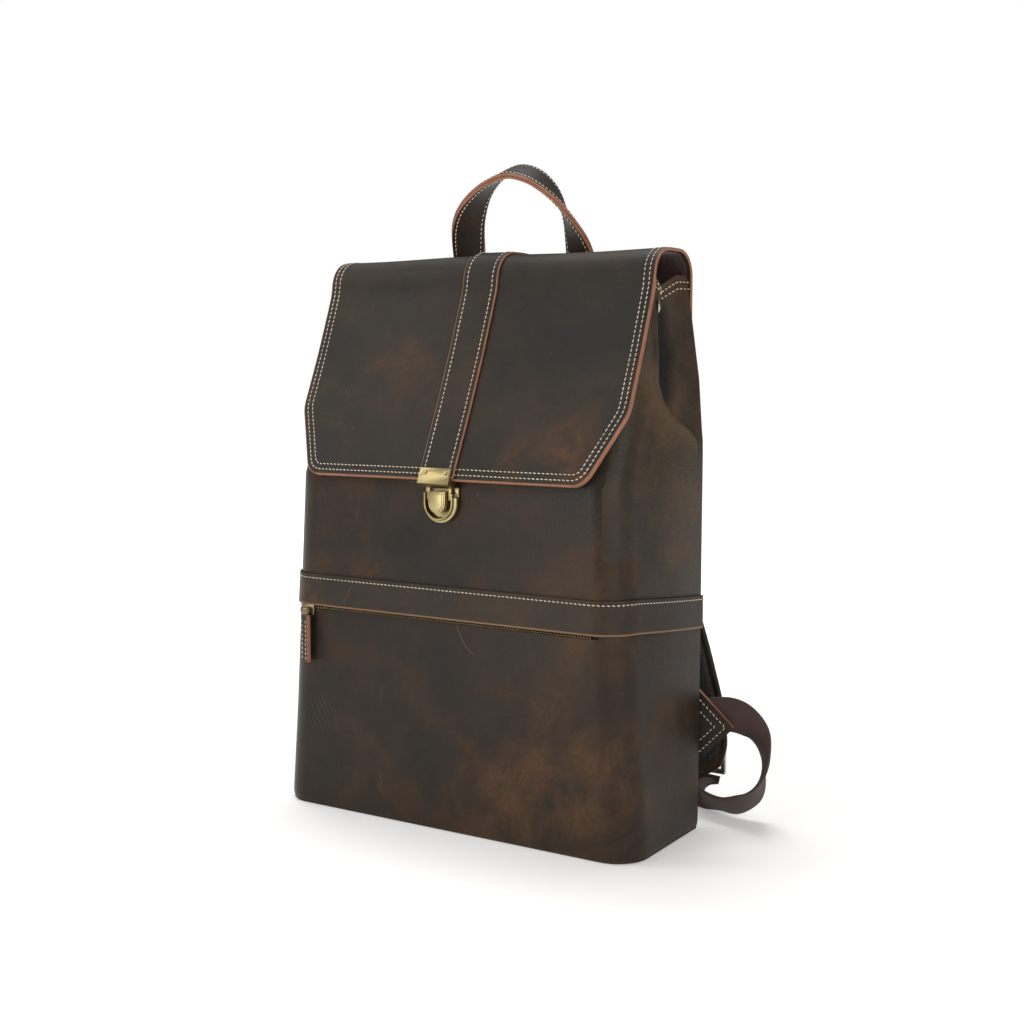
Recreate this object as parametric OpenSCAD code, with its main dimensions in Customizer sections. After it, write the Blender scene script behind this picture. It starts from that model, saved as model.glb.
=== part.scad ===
// Leather backpack with a fold-over flap, a tuck lock, a zipped front pocket
// and two shoulder straps with webbing loops. Millimetres, +Z up, the front
// faces -Y, and the origin is the centre of the base's underside.

/* [Body] */
// Width across the base
body_w = 300; // [270:1:350]
// Depth from the front pocket to the back panel
body_d = 102; // [96:1:132]
// Height of the mouth above the base
body_h = 382; // [360:1:420]
// Depth of the mouth, front wall to back panel
mouth_d = 44.5; // [42:0.5:50]
// Corner radius where the leather wraps from the front to the sides
corner_r = 24; // [18:1:32]
// Thickness of the shell leather
leather_t = 2.2; // [1.6:0.1:2.6]

/* [Band and zip] */
// Lower edge of the trim band
band_z = 150; // [130:0.5:160]
// Height of the trim band
band_h = 22.5; // [16:0.5:30]
// Thickness of the trim band
band_t = 2; // [1.4:0.1:2.6]
// Length of the front pocket's zip
zip_len = 244; // [200:2:250]
// Height of the slit that the zip closes
zip_gap = 6; // [5.5:0.1:8]
// Length of the leather zip pull
pull_len = 38; // [26:1:46]

/* [Flap] */
// Width of the flap
flap_w = 274; // [240:1:300]
// Height of the flap's free edge
flap_edge_z = 246; // [236:1:262]
// Height at which the cut corners start
flap_shoulder_z = 293; // [280:1:310]
// How far each cut corner comes in
flap_cut = 23; // [10:1:40]
// Thickness of the flap's outer leather
flap_t = 2.2; // [1.6:0.1:2.6]
// Thickness of the facing under the flap's border
facing_t = 1.8; // [1.2:0.1:2.2]
// Width of that border
border_w = 28; // [18:1:40]
// Width of the centre strip
strip_w = 29; // [20:1:40]
// Thickness of the centre strip
strip_t = 2; // [1.4:0.1:2.6]

/* [Lock] */
// Width of the lock body
lock_w = 28; // [24:1:34]
// Height of the lock body
lock_h = 25; // [22:1:30]
// Width of the clasp on the flap's edge
clasp_w = 26; // [22:1:32]
// Height of the clasp
clasp_h = 11.5; // [9:0.5:14]
// Width of the push button
button_w = 14; // [12:0.5:16]
// Travel of the push button
button_travel = 1.8; // [1:0.1:2]

/* [Handle] */
// Distance between the centres of the handle's two legs
handle_span = 96; // [84:1:120]
// Height of the handle's middle above the hinge line
handle_rise = 87; // [70:0.5:96]
// Width of the handle
handle_w = 25; // [22:1:34]
// Thickness of the handle's outer leather
handle_leather_t = 1.3; // [1:0.1:1.6]

/* [Shoulder straps] */
// Distance between the centres of the two straps at the top
strap_span = 72; // [64:1:96]
// Width of a strap at the top
strap_top_w = 56; // [44:1:60]
// Width of a strap near its lower end
strap_end_w = 44; // [34:1:50]
// Thickness of the strap leather
strap_leather_t = 2; // [1.4:0.1:2.6]
// Thickness of the strap foam
strap_foam_t = 5; // [3:0.5:7]
// Width of the webbing
webbing_w = 25; // [20:1:30]
// Thickness of the webbing
webbing_t = 1.8; // [1.2:0.1:2.4]

/* [Hidden] */
fit = 0.3;
fabric_t = 0.6;
back_y = body_d / 2;
base_t = 2.4;
board_t = 2.2;
shell_z = base_t + 0.2;
mouth_y = back_y - mouth_d;
arc_steps = 8;

// Heights of the zip and of the seam between the two shells
zip_z = band_z - 4;
seam_z = zip_z + zip_gap / 2;

// How far the front corners and the back corners come in from the base width,
// and how far the front wall stands back, at each height
lean_h = body_h - flap_edge_z;
FRONT_TUCK = [
    [0, 0], [band_z / 2, 5.5], [band_z, 9.5], [flap_edge_z, 13],
    [flap_edge_z + 0.35 * lean_h, 14], [body_h, 16]
];
BACK_TUCK = [
    [0, 3], [flap_edge_z + 0.2 * lean_h, 2.5], [flap_edge_z + 0.5 * lean_h, 5.6],
    [flap_edge_z + 0.75 * lean_h, 10.6], [body_h, 16]
];
edge_y = -back_y + 4;
lean_d = mouth_y - edge_y;
FRONT_LINE = [
    [0, -back_y], [band_z, -back_y + 1], [flap_edge_z, edge_y],
    [flap_edge_z + 0.35 * lean_h, edge_y + 0.36 * lean_d],
    [flap_edge_z + 0.62 * lean_h, edge_y + 0.63 * lean_d],
    [flap_edge_z + 0.86 * lean_h, edge_y + 0.87 * lean_d],
    [body_h, mouth_y]
];
LOWER_LEVELS = [shell_z, 0.28 * band_z, band_z / 2, 0.75 * band_z, seam_z - 0.2];
UPPER_LEVELS = [
    seam_z + 0.1, band_z, band_z + band_h, 200, flap_edge_z, flap_edge_z + 0.2 * lean_h,
    flap_edge_z + 0.35 * lean_h, flap_edge_z + 0.5 * lean_h,
    flap_edge_z + 0.62 * lean_h, flap_edge_z + 0.75 * lean_h,
    flap_edge_z + 0.86 * lean_h, body_h
];

HEM_LEVELS = [flap_edge_z + 0.75 * lean_h, flap_edge_z + 0.86 * lean_h, body_h - 1];

// Linings and the inside fittings
hem_gap = 0.9;
hem_t = 1.2;
lining_in = leather_t + hem_gap + hem_t + 0.9;
pad_t = 4.8;
pad_y = back_y - leather_t - 0.2 - pad_t;
lining_back = pad_y - 0.3;
lining_z = base_t + 0.4 + board_t + 0.4;
pocket_d = 10;
LINING_FRONT = [
    [0, pocket_d + 4], [band_z + 4, pocket_d + 4], [band_z + 20, leather_t + 6.4],
    [flap_edge_z + 14, leather_t + 6.4], [flap_shoulder_z, lining_in + 0.4],
    [body_h, lining_in + 0.4]
];
sleeve_w = 248;
sleeve_h = 282;
sleeve_t = 4;
laptop_gap = 15.3;
sleeve_y = lining_back - fabric_t - 0.4 - laptop_gap - sleeve_t;
organizer_w = 170;
organizer_t = 1.5;
organizer_gap = 5.7;

// The flap's section: free edge, lean, front round, flat top, back round
stack_t = flap_t + facing_t;
flap_gap = 1.2;
front_r = 20;
rear_r = 18;
rear_t = flap_t + fabric_t;
roll_z = body_h + 19.2;
rear_y = back_y + fit + rear_t;
front_arc_y = mouth_y - 7.5 + front_r;
rear_arc_y = rear_y - rear_r;
rear_edge_z = body_h - 64;
hinge_y = (front_arc_y + rear_arc_y) / 2;
hinge_z = roll_z + strip_t + 0.2;
split = 0.15;
FLAP_GAPS = [
    [flap_edge_z, 4.1], [flap_shoulder_z, 2], [flap_edge_z + 0.62 * lean_h, flap_gap],
    [flap_edge_z + 0.86 * lean_h, 1.6], [body_h, 2.7]
];
lean_cos = 0.92;

// The layers behind the roll: handle legs and strap tops, then the yoke
layer_y = rear_y + fit;
layer_t = 4;
handle_z = body_h - 8;
handle_y = layer_y + layer_t;
strap_z = rear_edge_z - 1;
strap_pivot_y = handle_y;
yoke_w = 210;
yoke_t = 2.2;
yoke_z = strap_z + 1.6;
yoke_h = handle_z - 2 - yoke_z;
mesh_t = 0.8;

// The lock's levels, outwards from the front wall
lock_bottom = flap_edge_z - 5 - lock_h;
lock_r = lock_w / 2;
lock_y = lookup(lock_bottom, FRONT_LINE) - 0.2;
plate_t = 1.3;
rim_h = 5;
barrel_r = 5;
barrel_bore = 4;
barrel_len = 6.6;
stem_r = 3.6;
button_z = lock_bottom + lock_r;
button_back = lock_y - plate_t - button_travel - 1.2;
button_t = 4.4;
spring_len = 4;

// The handle: centre line and the direction from its inner to its outer edge,
// each row [x, y, z, wx, wy, wz, half width], from one leg to the middle
handle_x = handle_span / 2;
handle_top = handle_z + handle_rise;
HANDLE_HALF = [
    [handle_x, handle_y - layer_t / 2, handle_z + 0.2, 1, 0, 0, handle_w / 2],
    [handle_x, handle_y - 2.4, handle_z + 14, 1, -0.02, 0, handle_w / 2],
    [handle_x, handle_y - 6, handle_z + 32, 0.97, -0.22, 0.02, handle_w / 2],
    [handle_x - 5, handle_y - 11, handle_z + 56, 0.83, -0.52, 0.1, handle_w / 2],
    [handle_x - 19, handle_y - 15, handle_top - 10, 0.5, -0.82, -0.06, handle_w / 2],
    [handle_x - 34, handle_y - 16.4, handle_top - 2, 0.16, -0.84, -0.4, handle_w / 2]
];
HANDLE_MIDDLE = [[0, handle_y - 17, handle_top, 0, -0.82, -0.57, handle_w / 2]];

// The right shoulder strap, from its pivot to its rounded end
strap_x = strap_span / 2;
top_half = strap_top_w / 2;
end_half = strap_end_w / 2;
STRAP = [
    [strap_x, strap_pivot_y - 1.6, strap_z - 0.4, 1, 0, 0, top_half],
    [strap_x, strap_pivot_y - 1.4, strap_z - 5, 1, 0, 0, top_half],
    [strap_x, strap_pivot_y + 5, strap_z - 22, 1, 0, 0, top_half],
    [strap_x + 16, strap_pivot_y + 29, 262, 0.97, 0, 0.22, top_half - 1],
    [strap_x + 36, strap_pivot_y + 42, 205, 0.94, 0, 0.34, top_half - 2],
    [strap_x + 57, strap_pivot_y + 45, 150, 0.93, 0, 0.36, top_half - 4],
    [strap_x + 76, strap_pivot_y + 43, 98, 0.95, 0, 0.3, end_half + 1],
    [strap_x + 87, strap_pivot_y + 40, 62, 0.98, 0, 0.2, end_half],
    [strap_x + 90, strap_pivot_y + 38, 42, 1, 0, 0.1, end_half - 2],
    [strap_x + 91, strap_pivot_y + 37, 33, 1, 0, 0, end_half - 7],
    [strap_x + 91, strap_pivot_y + 36.6, 27, 1, 0, 0, 6]
];
end_x = strap_x + 89;
end_y = strap_pivot_y + 40;

// The anchor tab at the lower back corner, which holds the webbing's end
tab_t = 4;
tab_fold_x = body_w / 2 - 32;
tab_turn = 14.5;
tab_reach = 50;
tab_half = 51;
tab_z = 72;
tab_flat = 26;

// The right webbing, from behind the anchor tab, round its loop, to the slider
WEBBING = [
    [tab_fold_x + 22, back_y + 13.6, tab_z + 2, -0.42, -0.1, 0.9, webbing_w / 2],
    [tab_fold_x + 34, back_y + 17.2, tab_z + 7, -0.34, -0.1, 0.93, webbing_w / 2],
    [tab_fold_x + 48, back_y + 20.5, tab_z + 7, 0.12, -0.12, 0.98, webbing_w / 2],
    [tab_fold_x + 61, back_y + 24, tab_z - 2, 0.62, -0.4, 0.7, webbing_w / 2],
    [tab_fold_x + 66, back_y + 27, tab_z - 18, 0.62, -0.76, 0.24, webbing_w / 2],
    [tab_fold_x + 64, back_y + 29, tab_z - 36, 0.36, -0.9, 0.2, webbing_w / 2],
    [tab_fold_x + 54, back_y + 30, 19, -0.02, -0.86, 0.52, webbing_w / 2],
    [tab_fold_x + 40, back_y + 30, 11.4, -0.1, -0.78, 0.62, webbing_w / 2],
    [tab_fold_x + 24, back_y + 34, 11.4, 0, -0.77, 0.64, webbing_w / 2],
    [tab_fold_x + 11, back_y + 44, 12.2, 0.3, -0.66, 0.6, webbing_w / 2],
    [tab_fold_x + 6.8, back_y + 52.6, 15.6, 0.9, -0.1, 0.2, webbing_w / 2],
    [tab_fold_x + 7, back_y + 55.6, 24.4, 0.99, 0, 0.05, webbing_w / 2]
];
slider_z = 38;
slider_w = webbing_w + 9;
slider_h = 24;
slider_t = 3;
slider_y = end_y + 3.4;
keeper_t = 1.8;

// Snap fasteners on the gussets
snap_y = mouth_y + 9;
snap_z = body_h - 19;
snap_r = 5.5;
snap_post_r = 1.4;
snap_depth = lining_in + fabric_t + 4.4;

// ---- Curves and lofts ----

function unit(v) = v / norm(v);
function part_of(v, a, b) = [for (i = [a:b]) v[i]];
function flip(list) = [for (i = [len(list) - 1:-1:0]) list[i]];
function mirrored(rows) = [for (r = rows) [-r[0], r[1], r[2], -r[3], r[4], r[5], r[6]]];

function spline(p, q, r, s, t) = 0.5 * (
    2 * q + (r - p) * t + (2 * p - 5 * q + 4 * r - s) * t * t
    + (3 * q - p - 3 * r + s) * t * t * t
);
function smooth(rows, n) = [
    for (i = [0:len(rows) - 2])
        for (k = [0:n - 1])
            spline(rows[max(i - 1, 0)], rows[i], rows[i + 1],
                   rows[min(i + 2, len(rows) - 1)], k / n),
    rows[len(rows) - 1]
];

// One closed section of a strap: its centre line and width direction at row i,
// between the depths t0 and t1 along its face normal, in cells across its width
function strap_ring(rows, i, t0, t1, spare, cells) = let (
    p = part_of(rows[i], 0, 2),
    ahead = part_of(rows[min(i + 1, len(rows) - 1)], 0, 2),
    behind = part_of(rows[max(i - 1, 0)], 0, 2),
    along = unit(ahead - behind),
    normal = unit(cross(along, part_of(rows[i], 3, 5))),
    across = cross(normal, along) * (rows[i][6] - spare)
) concat(
    [for (k = [0:cells]) p + across * (1 - 2 * k / cells) + normal * t0],
    [for (k = [cells:-1:0]) p + across * (1 - 2 * k / cells) + normal * t1]
);

// Joins rings of points, with each side split into two triangles
function ring_sides(n, last) = [
    for (i = [0:last - 1])
        for (k = [0:n - 1]) let (
            a = i * n + k, b = i * n + (k + 1) % n
        ) each [[a, a + n, b], [b, a + n, b + n]]
];

module loft(rings) {
    n = len(rings[0]);
    last = len(rings) - 1;
    polyhedron(
        points = [for (ring = rings) for (p = ring) p],
        faces = concat(
            [[for (k = [0:n - 1]) k]],
            ring_sides(n, last),
            [[for (k = [n - 1:-1:0]) last * n + k]]
        ),
        convexity = 8
    );
}

// Joins rings whose second half runs back along the first, as a band's does
module band_loft(rings) {
    n = len(rings[0]);
    last = len(rings) - 1;
    end = last * n;
    polyhedron(
        points = [for (ring = rings) for (p = ring) p],
        faces = concat(
            [for (k = [0:n / 2 - 2]) [k, k + 1, n - 2 - k, n - 1 - k]],
            ring_sides(n, last),
            [for (k = [0:n / 2 - 2]) [end + n - 1 - k, end + n - 2 - k, end + k + 1, end + k]]
        ),
        convexity = 8
    );
}

module strap(rows, t0, t1, n = 4, spare = 0, cells = 1) {
    path = smooth(rows, n);
    band_loft([for (i = [0:len(path) - 1]) strap_ring(path, i, t0, t1, spare, cells)]);
}

// Draws a section of the YZ plane as a solid between two X values
module across_x(x0, x1) {
    translate([x0, 0, 0]) rotate([90, 0, 90]) linear_extrude(x1 - x0) children();
}

// Draws an outline of the XZ plane as a solid between two Y values
module across_y(y0, y1) {
    translate([0, y1, 0]) rotate([90, 0, 0]) linear_extrude(y1 - y0) children();
}

module block(x0, x1, y0, y1, z0, z1) {
    translate([x0, y0, z0]) cube([x1 - x0, y1 - y0, z1 - z0]);
}

module both_sides() {
    children();
    mirror([1, 0, 0]) children();
}

// ---- The bag's form ----

function front_half(z) = body_w / 2 - lookup(z, FRONT_TUCK);
function back_half(z) = body_w / 2 - lookup(z, BACK_TUCK);

// Front and side walls at height z, set in from the outside by side_in and
// front_in, from the left end at y_back to the right end
function wrap(z, side_in, front_in, y_back) = let (
    cx = front_half(z) - corner_r,
    cy = lookup(z, FRONT_LINE) + corner_r,
    end = front_half(z) + (back_half(z) - front_half(z)) * (y_back - cy) / (back_y - cy),
    rx = corner_r - side_in,
    ry = corner_r - front_in,
    turn = [for (k = [0:arc_steps]) 90 * k / arc_steps]
) concat(
    [[-(end - side_in), y_back]],
    [for (a = turn) [-cx - rx * cos(a), cy - ry * sin(a)]],
    [for (a = turn) [cx + rx * sin(a), cy - ry * cos(a)]],
    [[end - side_in, y_back]]
);
function at_height(points, z) = [for (p = points) [p[0], p[1], z]];

module wall(levels, outer_in, inner_in, y_back) {
    band_loft([
        for (z = levels)
            at_height(concat(wrap(z, outer_in, outer_in, y_back),
                             flip(wrap(z, inner_in, inner_in, y_back))), z)
    ]);
}

// A filled form for the linings
module filled(levels, extra, y_back) {
    loft([
        for (z = levels)
            at_height(wrap(z, lining_in + extra, lookup(z, LINING_FRONT) + extra, y_back), z)
    ]);
}

// The dip in the top edge of each side, where the gusset folds in
module gusset_dip() {
    across_x(-body_w, body_w) polygon([
        [mouth_y + 6, body_h + 2], [mouth_y + 14.5, body_h - 11], [back_y - 9, body_h + 2]
    ]);
}

// Holes through the front wall for the lock's barrel and studs
module lock_holes(y0, y1) {
    translate([0, y1, button_z]) rotate([90, 0, 0])
        cylinder(r = barrel_r + 0.2, h = y1 - y0, $fn = 48);
    both_sides()
        translate([stud_x(), y1, stud_z()]) rotate([90, 0, 0])
            cylinder(r = stud_r() + 0.1, h = y1 - y0, $fn = 24);
}
// Holes through the gussets for the snaps' posts
module snap_holes() {
    both_sides()
        translate([body_w / 2 - 30, snap_y, snap_z]) rotate([0, 90, 0])
            cylinder(r = snap_post_r + 0.2, h = 60, $fn = 24);
}
function stud_x() = lock_r - 4.5;
function stud_z() = lock_bottom + 8;
function stud_r() = 1;

module base_panel() {
    color([0.20, 0.14, 0.10])
        linear_extrude(base_t) polygon(wrap(0, 1, 1, back_y - 1));
}

module base_board() {
    color([0.45, 0.36, 0.26])
        translate([0, 0, base_t + 0.2])
            linear_extrude(board_t) polygon(wrap(0, leather_t + 2, leather_t + 2, back_y - leather_t - 2));
}

module lower_shell() {
    color([0.25, 0.18, 0.13]) difference() {
        wall(LOWER_LEVELS, 0, leather_t, back_y);
        block(-zip_len / 2 - 4, zip_len / 2 + 4, -back_y - 5, -back_y + 12, zip_z - zip_gap / 2, seam_z + 1);
    }
}

module upper_shell() {
    color([0.27, 0.20, 0.14]) difference() {
        wall(UPPER_LEVELS, 0, leather_t, back_y);
        gusset_dip();
        lock_holes(-back_y - 5, -back_y + 12);
        snap_holes();
    }
}

module trim_band() {
    color([0.26, 0.18, 0.13])
        wall([band_z, band_z + band_h / 2, band_z + band_h], -fit - band_t, -fit, back_y);
}

// The flat back, between the ends of the side walls
function back_outline(inset, z0, z1) = let (
    levels = concat([z0], [for (z = concat(LOWER_LEVELS, UPPER_LEVELS)) if (z > z0 + 1 && z < z1 - 1) z], [z1])
) concat(
    [for (z = levels) [back_half(z) - inset, z]],
    flip([for (z = levels) [-(back_half(z) - inset), z]])
);

module back_panel() {
    color([0.23, 0.17, 0.12])
        across_y(back_y - leather_t, back_y)
            polygon(back_outline(leather_t + 0.8, shell_z, body_h - 1));
}

module back_padding() {
    color([0.75, 0.72, 0.62])
        across_y(pad_y, pad_y + pad_t) polygon(back_outline(8, 10, body_h - 12));
}

module main_lining() {
    levels = concat([lining_z, 40, 80, 120, band_z + 4, band_z + 20],
                    [for (z = UPPER_LEVELS) if (z > band_z + 22 && z < body_h) z]);
    color([0.38, 0.30, 0.22]) difference() {
        filled(concat(levels, [body_h - 3]), 0, lining_back);
        translate([0, 0, fabric_t])
            filled(concat(levels, [body_h + 1]), fabric_t, lining_back - fabric_t);
        gusset_dip();
        snap_holes();
    }
}

module pocket_lining() {
    x = zip_len / 2 - 10;
    y0 = -back_y + leather_t + 1.2;
    y1 = y0 + pocket_d;
    color([0.36, 0.29, 0.21]) {
        difference() {
            block(-x, x, y0, y1, 8, zip_z - 10);
            block(-x + fabric_t, x - fabric_t, y0 + fabric_t, y1 - fabric_t, 8 + fabric_t, zip_z);
        }
        block(-x, x, y1 - fabric_t, y1, zip_z - 10, zip_z + 10);
    }
}

module mouth_hem() {
    color([0.30, 0.21, 0.15]) difference() {
        wall(HEM_LEVELS, leather_t + hem_gap, leather_t + hem_gap + hem_t, back_y - leather_t - 0.3);
        gusset_dip();
        snap_holes();
    }
}

module laptop_sleeve() {
    y1 = lining_back - fabric_t - 0.4;
    color([0.33, 0.27, 0.21]) difference() {
        block(-sleeve_w / 2, sleeve_w / 2, sleeve_y, y1, lining_z + 2, lining_z + 2 + sleeve_h);
        block(-sleeve_w / 2 + 3, sleeve_w / 2 - 3, sleeve_y + sleeve_t, y1 + 1,
              lining_z + 5, lining_z + 3 + sleeve_h);
    }
}

module organizer_pocket() {
    y1 = sleeve_y - 0.3;
    y0 = y1 - organizer_gap - organizer_t;
    z0 = band_z + 8;
    color([0.30, 0.24, 0.18]) difference() {
        block(-organizer_w / 2, organizer_w / 2, y0, y1, z0, z0 + 112);
        block(-organizer_w / 2 + 2, organizer_w / 2 - 2, y0 + organizer_t, y1 + 1, z0 + 2, z0 + 113);
    }
}

// ---- The flap ----

// The outer face of the flap, from its free edge over the roll to the back
function lean_point(z) = [
    lookup(z, FRONT_LINE) - (stack_t + lookup(z, FLAP_GAPS)) / lean_cos, z
];
FLAP_LEVELS = [
    flap_edge_z, flap_edge_z + 0.12 * lean_h, flap_edge_z + 0.24 * lean_h,
    flap_edge_z + 0.35 * lean_h, flap_edge_z + 0.5 * lean_h, flap_edge_z + 0.62 * lean_h,
    flap_edge_z + 0.75 * lean_h, flap_edge_z + 0.86 * lean_h
];
OUTER = concat(
    [for (z = FLAP_LEVELS) lean_point(z)],
    [
        for (k = [0:arc_steps]) let (a = 180 - 90 * k / arc_steps)
            [front_arc_y + front_r * cos(a), roll_z - front_r + front_r * sin(a)]
    ],
    [
        for (k = [0:arc_steps]) let (a = 90 - 90 * k / arc_steps)
            [rear_arc_y + rear_r * cos(a), roll_z - rear_r + rear_r * sin(a)]
    ],
    [[rear_y, rear_edge_z]]
);

// A path moved inwards by d along its own normals
function inward(path, d) = [
    for (i = [0:len(path) - 1]) let (
        along = unit(path[min(i + 1, len(path) - 1)] - path[max(i - 1, 0)])
    ) path[i] + d * [along[1], -along[0]]
];

module skin(d0, d1) {
    polygon(concat(inward(OUTER, d0), flip(inward(OUTER, d1))));
}

module moving_side() {
    translate([-200, 0]) square([200 + hinge_y - split, roll_z + 20]);
}

module fixed_side() {
    translate([hinge_y + split, 0]) square([200, roll_z + 20]);
}

// The flap seen from the front, set in from its edge
module flap_outline(inset) {
    half = flap_w / 2 - inset;
    low = flap_edge_z + inset;
    cut = flap_cut - inset * 0.42;
    shoulder = flap_shoulder_z + inset * 0.4;
    across_y(-200, 200) polygon([
        [-half + cut, low], [half - cut, low], [half, shoulder], [half, roll_z + 20],
        [-half, roll_z + 20], [-half, shoulder]
    ]);
}

module flap_leather() {
    color([0.24, 0.18, 0.13]) difference() {
        intersection() {
            across_x(-flap_w / 2, flap_w / 2) intersection() {
                skin(0, flap_t);
                moving_side();
            }
            flap_outline(0.01);
        }
        rivet_holes();
    }
}

module flap_facing() {
    color([0.55, 0.34, 0.23]) difference() {
        intersection() {
            across_x(-flap_w / 2, flap_w / 2) intersection() {
                skin(flap_t + 0.05, stack_t);
                moving_side();
            }
            flap_outline(0.01);
        }
        flap_outline(border_w);
        rivet_holes();
    }
}

module flap_lining() {
    color([0.38, 0.30, 0.22]) intersection() {
        across_x(-flap_w / 2, flap_w / 2) intersection() {
            skin(flap_t + 0.05, flap_t + 0.05 + fabric_t);
            moving_side();
        }
        flap_outline(border_w + 0.3);
    }
}

module flap_centre_strip() {
    color([0.28, 0.20, 0.14]) difference() {
        across_x(-strip_w / 2, strip_w / 2) intersection() {
            skin(-0.05 - strip_t, -0.05);
            moving_side();
            translate([-200, flap_edge_z + 1]) square(400);
        }
        rivet_holes();
    }
}

module flap_roll() {
    color([0.24, 0.18, 0.13])
        across_x(-flap_w / 2, flap_w / 2) intersection() {
            skin(0, flap_t);
            fixed_side();
        }
}

module flap_roll_lining() {
    color([0.38, 0.30, 0.22])
        across_x(-flap_w / 2 + 3, flap_w / 2 - 3) intersection() {
            skin(flap_t + 0.05, rear_t);
            fixed_side();
        }
}

module roll_centre_strip() {
    color([0.28, 0.20, 0.14])
        across_x(-strip_w / 2, strip_w / 2) intersection() {
            skin(-0.05 - strip_t, -0.05);
            fixed_side();
            translate([0, handle_z + 1]) square(400);
        }
}

// ---- Back yoke, handle ----

module back_yoke() {
    y0 = handle_y + fit;
    r = 12;
    color([0.26, 0.19, 0.14])
        across_y(y0, y0 + yoke_t) union() {
            translate([-yoke_w / 2, yoke_z + r]) square([yoke_w, yoke_h - r]);
            translate([-yoke_w / 2 + r, yoke_z]) square([yoke_w - 2 * r, yoke_h]);
            translate([-yoke_w / 2 + r, yoke_z + r]) circle(r, $fn = 48);
            translate([yoke_w / 2 - r, yoke_z + r]) circle(r, $fn = 48);
        }
}

module handle_tails() {
    z0 = handle_z - 26;
    color([0.26, 0.19, 0.14]) both_sides()
        block(handle_x - handle_w / 2, handle_x + handle_w / 2, layer_y, handle_y, z0, handle_z);
}

function whole_handle() = concat(
    mirrored(HANDLE_HALF), HANDLE_MIDDLE, flip(HANDLE_HALF)
);
core_t = layer_t - 2 * handle_leather_t;
core_half = 4;

// The width direction keeps its sense along the whole handle, from the outer
// edge on the left leg, over the front edge, to the outer edge on the right
module handle_layer(t0, t1, spare) {
    strap(whole_handle(), t0, t1, 4, spare, 4);
}

module handle_leather() {
    color([0.26, 0.19, 0.14]) handle_layer(-layer_t / 2, -core_t / 2, 0);
}

module handle_core() {
    color([0.62, 0.40, 0.28]) handle_layer(-core_t / 4, core_t / 4, handle_w / 2 - core_half);
}

module handle_lining() {
    color([0.20, 0.14, 0.10]) handle_layer(core_t / 2, layer_t / 2, 0);
}

// ---- The lock ----

// A U-shaped plate: straight sides above a half circle
module u_shape(r, top) {
    intersection() {
        circle(r, $fn = 64);
        translate([-r, -r]) square([2 * r, r + min(top, r)]);
    }
    translate([-r, 0]) square([2 * r, top]);
}

module at_button(y0, y1) {
    translate([0, y1, button_z]) rotate([90, 0, 0]) linear_extrude(y1 - y0) children();
}

edge_turn = atan2(
    OUTER[1][0] - OUTER[0][0], OUTER[1][1] - OUTER[0][1]
);

// Places its children on the flap's free edge, with Z up the flap
module on_flap_edge() {
    translate([0, OUTER[0][0], flap_edge_z]) rotate([-edge_turn, 0, 0]) children();
}

clasp_grip = stack_t + strip_t + 0.5;
clasp_wall = 1;
clasp_low = -4.2;
rivet_r = 0.85;
prong_x = button_w / 2 + 0.7;
prong_w = lock_r - 3.9 - prong_x;

module lock_clasp() {
    front = -strip_t - 0.35;
    back = front + clasp_grip;
    color([0.72, 0.62, 0.38]) {
        on_flap_edge() difference() {
            block(-clasp_w / 2, clasp_w / 2, front - clasp_wall, back + clasp_wall,
                  clasp_low, clasp_low + clasp_h);
            block(-clasp_w, clasp_w, front, back, -0.4, clasp_h);
            rivet_places() cylinder(r = rivet_r + 0.05, h = 20, center = true, $fn = 24);
        }
        both_sides()
            block(prong_x, prong_x + prong_w, lock_y - plate_t - 3.4, lock_y - plate_t - 1.6,
                  button_z + 2, flap_edge_z - 3.4);
    }
}

module rivet_places() {
    for (x = [-clasp_w / 2 + 4.5, clasp_w / 2 - 4.5])
        translate([x, 0, clasp_low + clasp_h - 3.2]) rotate([90, 0, 0]) children();
}

module rivet_holes() {
    on_flap_edge() rivet_places() cylinder(r = rivet_r + 0.05, h = 20, center = true, $fn = 24);
}

module lock_clasp_rivets() {
    front = -strip_t - 0.35 - clasp_wall;
    depth = clasp_grip + 2 * clasp_wall;
    color([0.80, 0.72, 0.50]) on_flap_edge() rivet_places() {
        translate([0, 0, -front - depth]) cylinder(r = rivet_r, h = depth, $fn = 24);
        translate([0, 0, -front]) cylinder(r = 1.6, h = 0.6, $fn = 24);
    }
}

module lock_body() {
    top = lock_h - lock_r;
    color([0.72, 0.62, 0.38]) difference() {
        union() {
            at_button(lock_y - plate_t, lock_y) u_shape(lock_r, top);
            at_button(lock_y - plate_t - rim_h, lock_y - plate_t) difference() {
                u_shape(lock_r - 2, top - 4);
                u_shape(lock_r - 3.4, top);
            }
            at_button(lock_y - plate_t - rim_h / 2, lock_y - plate_t) difference() {
                u_shape(lock_r, top - 7);
                u_shape(lock_r - 2, top);
            }
            translate([0, lock_y + barrel_len, button_z]) rotate([90, 0, 0])
                cylinder(r = barrel_r, h = barrel_len + 0.1, $fn = 64);
        }
        translate([0, lock_y + barrel_len - 0.8, button_z]) rotate([90, 0, 0])
            cylinder(r = barrel_bore, h = 20, $fn = 64);
    }
}

module lock_button() {
    r = button_w / 2;
    top = lock_h - lock_r - 3;
    color([0.78, 0.70, 0.46]) {
        at_button(button_back - button_t + 1.2, button_back) u_shape(r, top);
        at_button(button_back - button_t + 0.5, button_back - button_t + 1.2) u_shape(r - 0.8, top - 0.8);
        at_button(button_back - button_t, button_back - button_t + 0.5) u_shape(r - 1.8, top - 1.8);
        translate([0, lock_y + barrel_len - 0.8 - spring_len - 0.1, button_z]) rotate([90, 0, 0])
            cylinder(r = stem_r, h = lock_y + barrel_len - 0.9 - spring_len - button_back + 0.1, $fn = 64);
    }
}

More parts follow.
